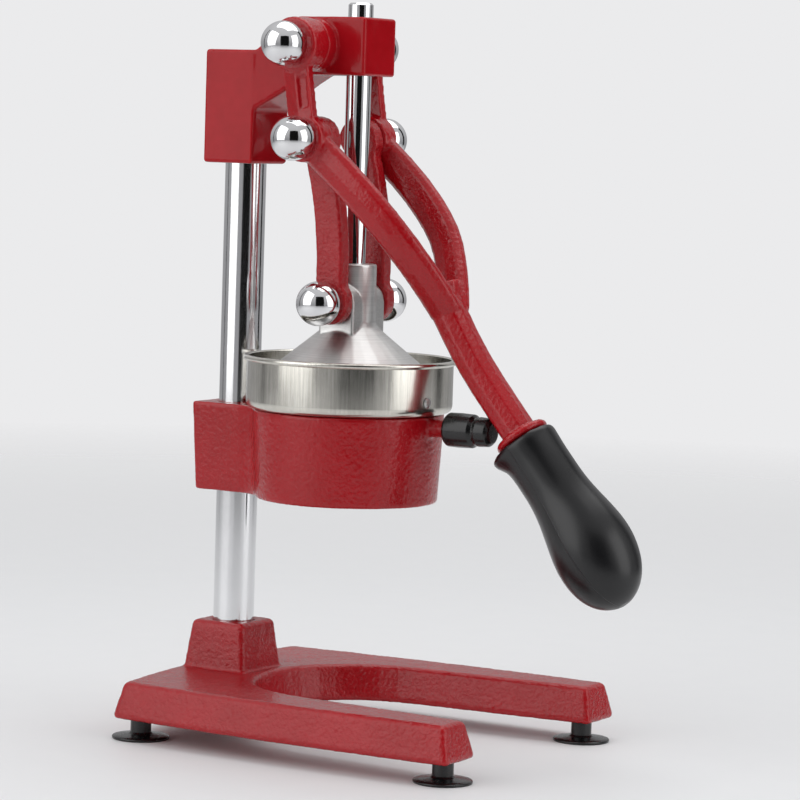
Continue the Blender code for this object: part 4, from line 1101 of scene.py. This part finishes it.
@dataclass
class Bowl(Assembly):
    """The stainless bowl with its strainer, reamer and funnel."""

    label: str = "bowl"
    steps: int = 128
    sheet: float = 0.0012
    lip: float = 0.0017
    lip_reach: float = 0.0019
    corner: float = 0.0055
    outlet_radius: float = 0.040
    outlet_drop: float = 0.0085
    screw_bore: float = 0.0032
    hole_pitch: float = 0.0062
    first_ring: float = 0.0415
    last_ring_inset: float = 0.0060
    hole_radius: float = 0.0013
    reamer_ribs: int = 18
    reamer_groove: float = 0.0016
    reamer_tip: float = 0.0004
    axis: Triple = (0.0, 0.0, 0.0)

    def build(self) -> None:
        """Builds the bowl and what stands in it."""
        centre = middle("juice_bowl")
        self.axis = (centre.x, centre.y, 0.0)
        self.build_bowl()
        self.build_strainer()
        self.build_reamer()
        funnel = new_from_mesh("steel_funnel", copy_of("juice_funnel"), 40.0)
        finish = Brushed("stainless_funnel", Slot.STAINLESS, centre=self.axis)
        self.put(funnel, Body.STAND, finish, ["juice_funnel"])
        self.dress(Zinc("rivet_steel", Slot.STEEL), "bowl_rivet_front", "bowl_rivet_rear", "reamer_screw")

    def build_bowl(self) -> None:
        """Builds the bowl as one bent sheet with a rolled lip."""
        finish = Brushed("stainless_bowl", Slot.STAINLESS, centre=self.axis)
        rim, top, foot = upright("juice_bowl")
        lip = self.lip
        wall = rim - self.lip_reach
        floor = self.outlet_drop
        outlet = self.outlet_radius
        sheet = self.sheet
        outside = [(outlet, 0.0), (outlet, floor), (wall, floor), (wall, top - 2.0 * lip)]
        outside = fillet(outside, {1: 0.0012, 2: self.corner}, 8)
        roll: list[Point] = []
        for step in range(15):
            angle = math.radians(-150 + 300 * step / 14)
            roll.append((wall + 0.0002 + lip * math.cos(angle), top - lip + lip * math.sin(angle)))
        inside = [(wall - sheet, top - 2.2 * lip), (wall - sheet, floor + sheet)]
        inside += [(outlet - sheet, floor + sheet), (outlet - sheet, 0.0)]
        inside = fillet(inside, {1: self.corner - sheet, 2: 0.0012}, 8)
        shape = [*outside, *roll, *inside]
        obj = new_object("steel_bowl", *revolved(shape, self.steps, foot, loop=True), 40.0)
        self.put(obj, Body.STAND, finish, ["juice_bowl"])

    def build_strainer(self) -> None:
        """Builds the strainer: a dished plate with rings of small holes."""
        finish = Brushed("stainless_strainer", Slot.STAINLESS, centre=self.axis, bright=(0.70, 0.69, 0.64))
        radius, top, foot = upright("strainer_plate")
        sheet = self.sheet
        inner = self.screw_bore
        section = [(inner, 0.0), (radius, 0.0), (radius, top), (radius - sheet, top), (radius - sheet, sheet)]
        section.append((inner, sheet))
        shape = fillet(section, {1: 0.0032, 4: 0.0020}, 6)
        plate = new_object("plate", *revolved(shape, 96, (0, 0, 0), loop=True), 40.0)
        sizes = {
            "Hole radius": self.hole_radius,
            "Pitch": self.hole_pitch,
            "First ring": self.first_ring,
            "Last ring": radius - self.last_ring_inset,
            "Depth": sheet * 3,
        }
        pattern = Pattern("perforated_plate", sizes)
        given = pattern.start.out
        width = given("Last ring") * 2.0
        count = width / given("Pitch")
        sides = {"Size X": width, "Size Y": width, "Vertices X": count, "Vertices Y": count}
        grid = pattern.add("GeometryNodeMeshGrid", None, sides).out()
        place = pattern.add("GeometryNodeInputPosition").out()
        away = pattern.add("ShaderNodeVectorMath", {"operation": "LENGTH"}, {0: place}).out("Value")
        near = away.math("LESS_THAN", away, given("First ring"))
        outside = away.math("MAXIMUM", near, away.math("GREATER_THAN", away, given("Last ring")))
        dropped = {"Geometry": grid, "Selection": outside}
        kept = pattern.add("GeometryNodeDeleteGeometry", {"domain": "POINT"}, dropped).out()
        tool = {"Vertices": 12, "Radius": given("Hole radius"), "Depth": given("Depth")}
        punch = pattern.add("GeometryNodeMeshCylinder", None, tool).out()
        punches = pattern.add("GeometryNodeInstanceOnPoints", None, {"Points": kept, "Instance": punch}).out()
        cutters = pattern.add("GeometryNodeRealizeInstances", None, {"Geometry": punches}).out()
        meshes = {"Mesh 1": given("Geometry"), "Mesh 2": cutters}
        how = {"operation": "DIFFERENCE", "solver": "EXACT"}
        pattern.finish(pattern.add("GeometryNodeMeshBoolean", how, meshes).out(), finish.material())
        obj = pattern.grow(plate, "steel_strainer", 30.0)
        obj.data.transform(Matrix.Translation(foot))
        self.put(obj, Body.STAND, finish, ["strainer_plate"])

    def build_reamer(self) -> None:
        """Builds the reamer: a low cone with a skirt, and rounded ribs that run up it."""
        finish = Turned("aluminium_reamer", Slot.ALUMINIUM, centre=self.axis)
        radius, height, foot = upright("reamer_cone")
        skirt = height * 0.40
        bend = 0.3
        rings, steps = 40, 180
        points: list[Vector] = []
        for ring in range(rings + 1):
            share = ring / rings
            if share < bend:
                level = skirt * share / bend
                reach = radius * (1 - 0.02 * share / bend)
            else:
                rise = (share - bend) / (1 - bend)
                level = skirt + (height - skirt) * math.sin(rise * math.pi / 2) ** 0.9
                reach = radius * 0.98 * math.cos(rise * math.pi / 2) ** 0.8 + self.reamer_tip
            for step in range(steps):
                angle = math.tau * step / steps
                rib = abs(math.cos(angle * self.reamer_ribs / 2)) ** 1.6
                inset = self.reamer_groove * (1 - rib) * min(1.0, reach / 0.008)
                out = reach - inset
                points.append(Vector((out * math.cos(angle), out * math.sin(angle), level)))
        numbers = [range(ring * steps, (ring + 1) * steps) for ring in range(rings + 1)]
        faces = [*bridged(numbers, steps), list(numbers[0])[::-1], list(numbers[-1])]
        points = [point + foot for point in points]
        self.put(new_object("aluminium_reamer", points, faces, 60.0), Body.STAND, finish, ["reamer_cone"])


@dataclass
class Ram(Assembly):
    """The press cone and the rod that guides it."""

    label: str = "ram"
    steps: int = 96
    chamfer: float = 0.0012

    def build(self) -> None:
        """Builds the ram."""
        axis = middle("press_rod")
        turned = Turned("aluminium_cone", Slot.ALUMINIUM, centre=(axis.x, axis.y, 0.0))
        cone = casting_skin("press_cone_skin", "press_cone", 0.0008, 4, Relief.SMOOTH)
        self.put(cone, Body.RAM, turned, ["press_cone"])
        radius, height, foot = upright("press_rod", across=1)
        profile = bar_profile(radius, height, self.chamfer, [(radius, 0.0), (0.0, 0.0)], 20)
        rod = new_object("chrome_rod", *revolved(profile, self.steps, foot), 30.0)
        self.put(rod, Body.RAM, Plated("chrome_rod", Slot.CHROME), ["press_rod"])
        self.dress(Zinc("pin_steel", Slot.STEEL), "cross_pin")


@dataclass
class Links(Assembly):
    """The two links between the lever and the ram."""

    label: str = "links"
    enamel: Enamel = Enamel("enamel_links", Slot.ENAMEL, lump=620.0, lump_depth=0.0012, gloss=0.12)

    def build(self) -> None:
        """Builds the links."""
        for side in ("left", "right"):
            link = casting_skin(f"link_skin_{side}", f"link_{side}", 0.0007, 4, Relief.PEBBLED)
            self.put(link, Body.LINKS, self.enamel, [f"link_{side}"])
            self.dress(Zinc("pin_steel", Slot.STEEL), f"link_stud_{side}")


@dataclass
class Lever(Assembly):
    """The forked lever with its grip."""

    label: str = "lever"
    pitch: float = math.radians(51.5)
    enamel: Enamel = Enamel("enamel_lever", Slot.ENAMEL, lump=520.0, lump_depth=0.00055)

    def build(self) -> None:
        """Builds the lever."""
        lever = casting_skin("lever_skin", "lever_casting", 0.0008, 5, Relief.SATIN)
        self.put(lever, Body.LEVER, self.enamel, ["lever_casting"])
        self.dress(Zinc("pin_steel", Slot.STEEL), "middle_pin_left", "middle_pin_right")
        self.build_grip()

    def build_grip(self) -> None:
        """Builds the grip, smoothed from its node."""
        obj = bpy.data.objects.new("grip_rough", copy_of("lever_grip"))
        bpy.context.scene.collection.objects.link(obj)
        work = bmesh.new()
        work.from_mesh(obj.data)
        bmesh.ops.join_triangles(
            work,
            faces=work.faces,
            angle_face_threshold=math.radians(60),
            angle_shape_threshold=math.radians(180),
        )
        work.to_mesh(obj.data)
        work.free()
        rounder = obj.modifiers.new("round", "SUBSURF")
        rounder.levels = 3
        rounder.render_levels = 3
        mesh = applied(obj, "grip")
        centre = middle("lever_grip")
        square = (math.sin(self.pitch), 0.0, math.cos(self.pitch))
        finish = Moulded("black_moulding", Slot.GRIP, point=(centre.x, centre.y, centre.z), square=square)
        self.put(new_from_mesh("grip", mesh, 60.0), Body.LEVER, finish, ["lever_grip"])


# Studio


@dataclass(frozen=True)
class Spot:
    """A place round the press: degrees to the right of the camera's side, degrees up, and metres away."""

    azimuth: float
    elevation: float
    distance: float


@dataclass
class Studio:
    """The pale floor, the backdrop, the lamps and the camera."""

    eye: Triple = (1.1410, -1.7560, 0.3730)
    target: Triple = (0.1139, 0.0, 0.2071)
    roll: float = math.radians(1.82)
    lens: float = 154.1
    dome_radius: float = 14.0
    floor_reach: float = 3.0
    middle_height: float = 0.22

    def build(self) -> None:
        """Builds the studio."""
        self.build_floor()
        self.build_world()
        self.build_lamps()
        self.build_camera()

    def build_floor(self) -> None:
        """Builds the floor and the dome behind everything."""
        floor = flat_sheet("floor", self.floor_reach, self.floor_reach)
        floor.data.materials.append(Paper("studio_paper", Slot.RUBBER).material())
        slopes = [math.pi * step / 24 for step in range(25)]
        rings = [(self.dome_radius * math.sin(slope), self.dome_radius * math.cos(slope)) for slope in slopes]
        dome = new_object("dome", *revolved(rings, 48, (0, 0, 0)))
        dome.data.materials.append(Glow("studio_glow", Slot.RUBBER).material())
        dome.visible_diffuse = False
        dome.visible_glossy = False
        dome.visible_shadow = False
        dome.visible_transmission = False

    def build_world(self) -> None:
        """Lights the room evenly from above, with a darker band low down that polished metal picks up."""
        world = bpy.data.worlds.new("studio")
        bpy.context.scene.world = world
        world.use_nodes = True
        board = Board(world.node_tree)
        direction = board.add("ShaderNodeTexCoord").out("Generated")
        height = board.add("ShaderNodeSeparateXYZ", None, {0: direction}).out("Z")
        ramp = board.add("ShaderNodeValToRGB", None, {0: height * 0.5 + 0.5})
        stops = ramp.node.color_ramp.elements
        levels = ((0.0, 0.30), (0.45, 0.34), (0.62, 0.50), (1.0, 0.70))
        while len(stops) < len(levels):
            stops.new(1.0)
        for stop, (place, grey) in zip(stops, levels, strict=True):
            stop.position = place
            stop.color = (grey, grey, grey + 0.01, 1.0)
        sky = ramp.out()
        back = board.add("ShaderNodeBackground", None, {"Color": sky, "Strength": 1.0})
        board.add("ShaderNodeOutputWorld", None, {0: back.out()})

    def lamp(self, name: str, spot: Spot, size: Point, power: float) -> None:
        """Adds one soft box that looks at the press.

        Args:
            name: Its name.
            spot: Its place.
            size: Its width and height.
            power: Its power in watts.
        """
        data = bpy.data.lights.new(name, "AREA")
        data.shape = "RECTANGLE"
        data.size, data.size_y = size
        data.energy = power
        self.aim(bpy.data.objects.new(name, data), spot)

    def aim(self, obj: Object, spot: Spot) -> None:
        """Puts an object at a spot, looking at the press.

        Args:
            obj: The object.
            spot: Its place.
        """
        bearing = math.atan2(self.eye[1], self.eye[0] - self.target[0]) + math.radians(spot.azimuth)
        up = math.radians(spot.elevation)
        direction = Vector((math.cos(bearing) * math.cos(up), math.sin(bearing) * math.cos(up), math.sin(up)))
        obj.location = Vector((0.0, 0.0, self.middle_height)) + direction * spot.distance
        obj.rotation_euler = direction.to_track_quat("Z", "Y").to_euler()
        bpy.context.scene.collection.objects.link(obj)

    def card(self, name: str, spot: Spot, size: Point) -> None:
        """Adds one black card that only polished surfaces see.

        Args:
            name: Its name.
            spot: Its place.
            size: Its width and height.
        """
        half, tall = size[0] / 2, size[1] / 2
        obj = flat_sheet(name, half, tall)
        bpy.context.scene.collection.objects.unlink(obj)
        obj.data.materials.append(Glow("black_card", Slot.RUBBER, colour=(0.006, 0.006, 0.006)).material())
        obj.visible_camera = False
        obj.visible_diffuse = False
        obj.visible_shadow = False
        self.aim(obj, spot)

    def build_lamps(self) -> None:
        """Adds the soft boxes and the black cards."""
        self.lamp("key", Spot(-62.0, 24.0, 1.7), (1.5, 1.9), 13.0)
        self.lamp("fill", Spot(66.0, 16.0, 1.9), (1.2, 1.8), 10.0)
        self.lamp("top", Spot(150.0, 74.0, 1.6), (1.5, 1.5), 11.0)
        self.card("card_front", Spot(8.0, 6.0, 2.5), (2.0, 3.4))
        self.card("card_left", Spot(-110.0, 6.0, 1.7), (0.14, 2.6))
        self.card("card_back", Spot(118.0, 6.0, 1.7), (0.40, 2.6))

    def build_camera(self) -> None:
        """Adds the camera."""
        column = middle("column")
        offset = Vector((column.x, 0, 0))
        eye = Vector(self.eye) + offset
        forward = (Vector(self.target) + offset - eye).normalized()
        right = forward.cross(Vector((0, 0, 1))).normalized()
        up = right.cross(forward)
        tilted = right * math.cos(self.roll) + up * math.sin(self.roll)
        raised = up * math.cos(self.roll) - right * math.sin(self.roll)
        data = bpy.data.cameras.new("camera")
        data.sensor_width = 36.0
        data.lens = self.lens
        camera = bpy.data.objects.new("camera", data)
        turn = Matrix((tilted, raised, -forward)).transposed()
        camera.matrix_world = Matrix.Translation(eye) @ turn.to_4x4()
        bpy.context.scene.collection.objects.link(camera)
        bpy.context.scene.camera = camera
        bpy.context.scene.view_settings.view_transform = "Standard"


def main() -> None:
    """Builds the press and the studio around it."""
    logging.basicConfig(level=logging.INFO, format="%(name)s %(message)s")
    Frame.load()
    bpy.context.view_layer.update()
    builders: list[Callable[[], None]] = [
        Stand().build, Balls().build, Tray().build, Bowl().build, Ram().build, Links().build, Lever().build
    ]
    for build in builders:
        build()
    Studio().build()


if __name__ == "__main__":
    main()
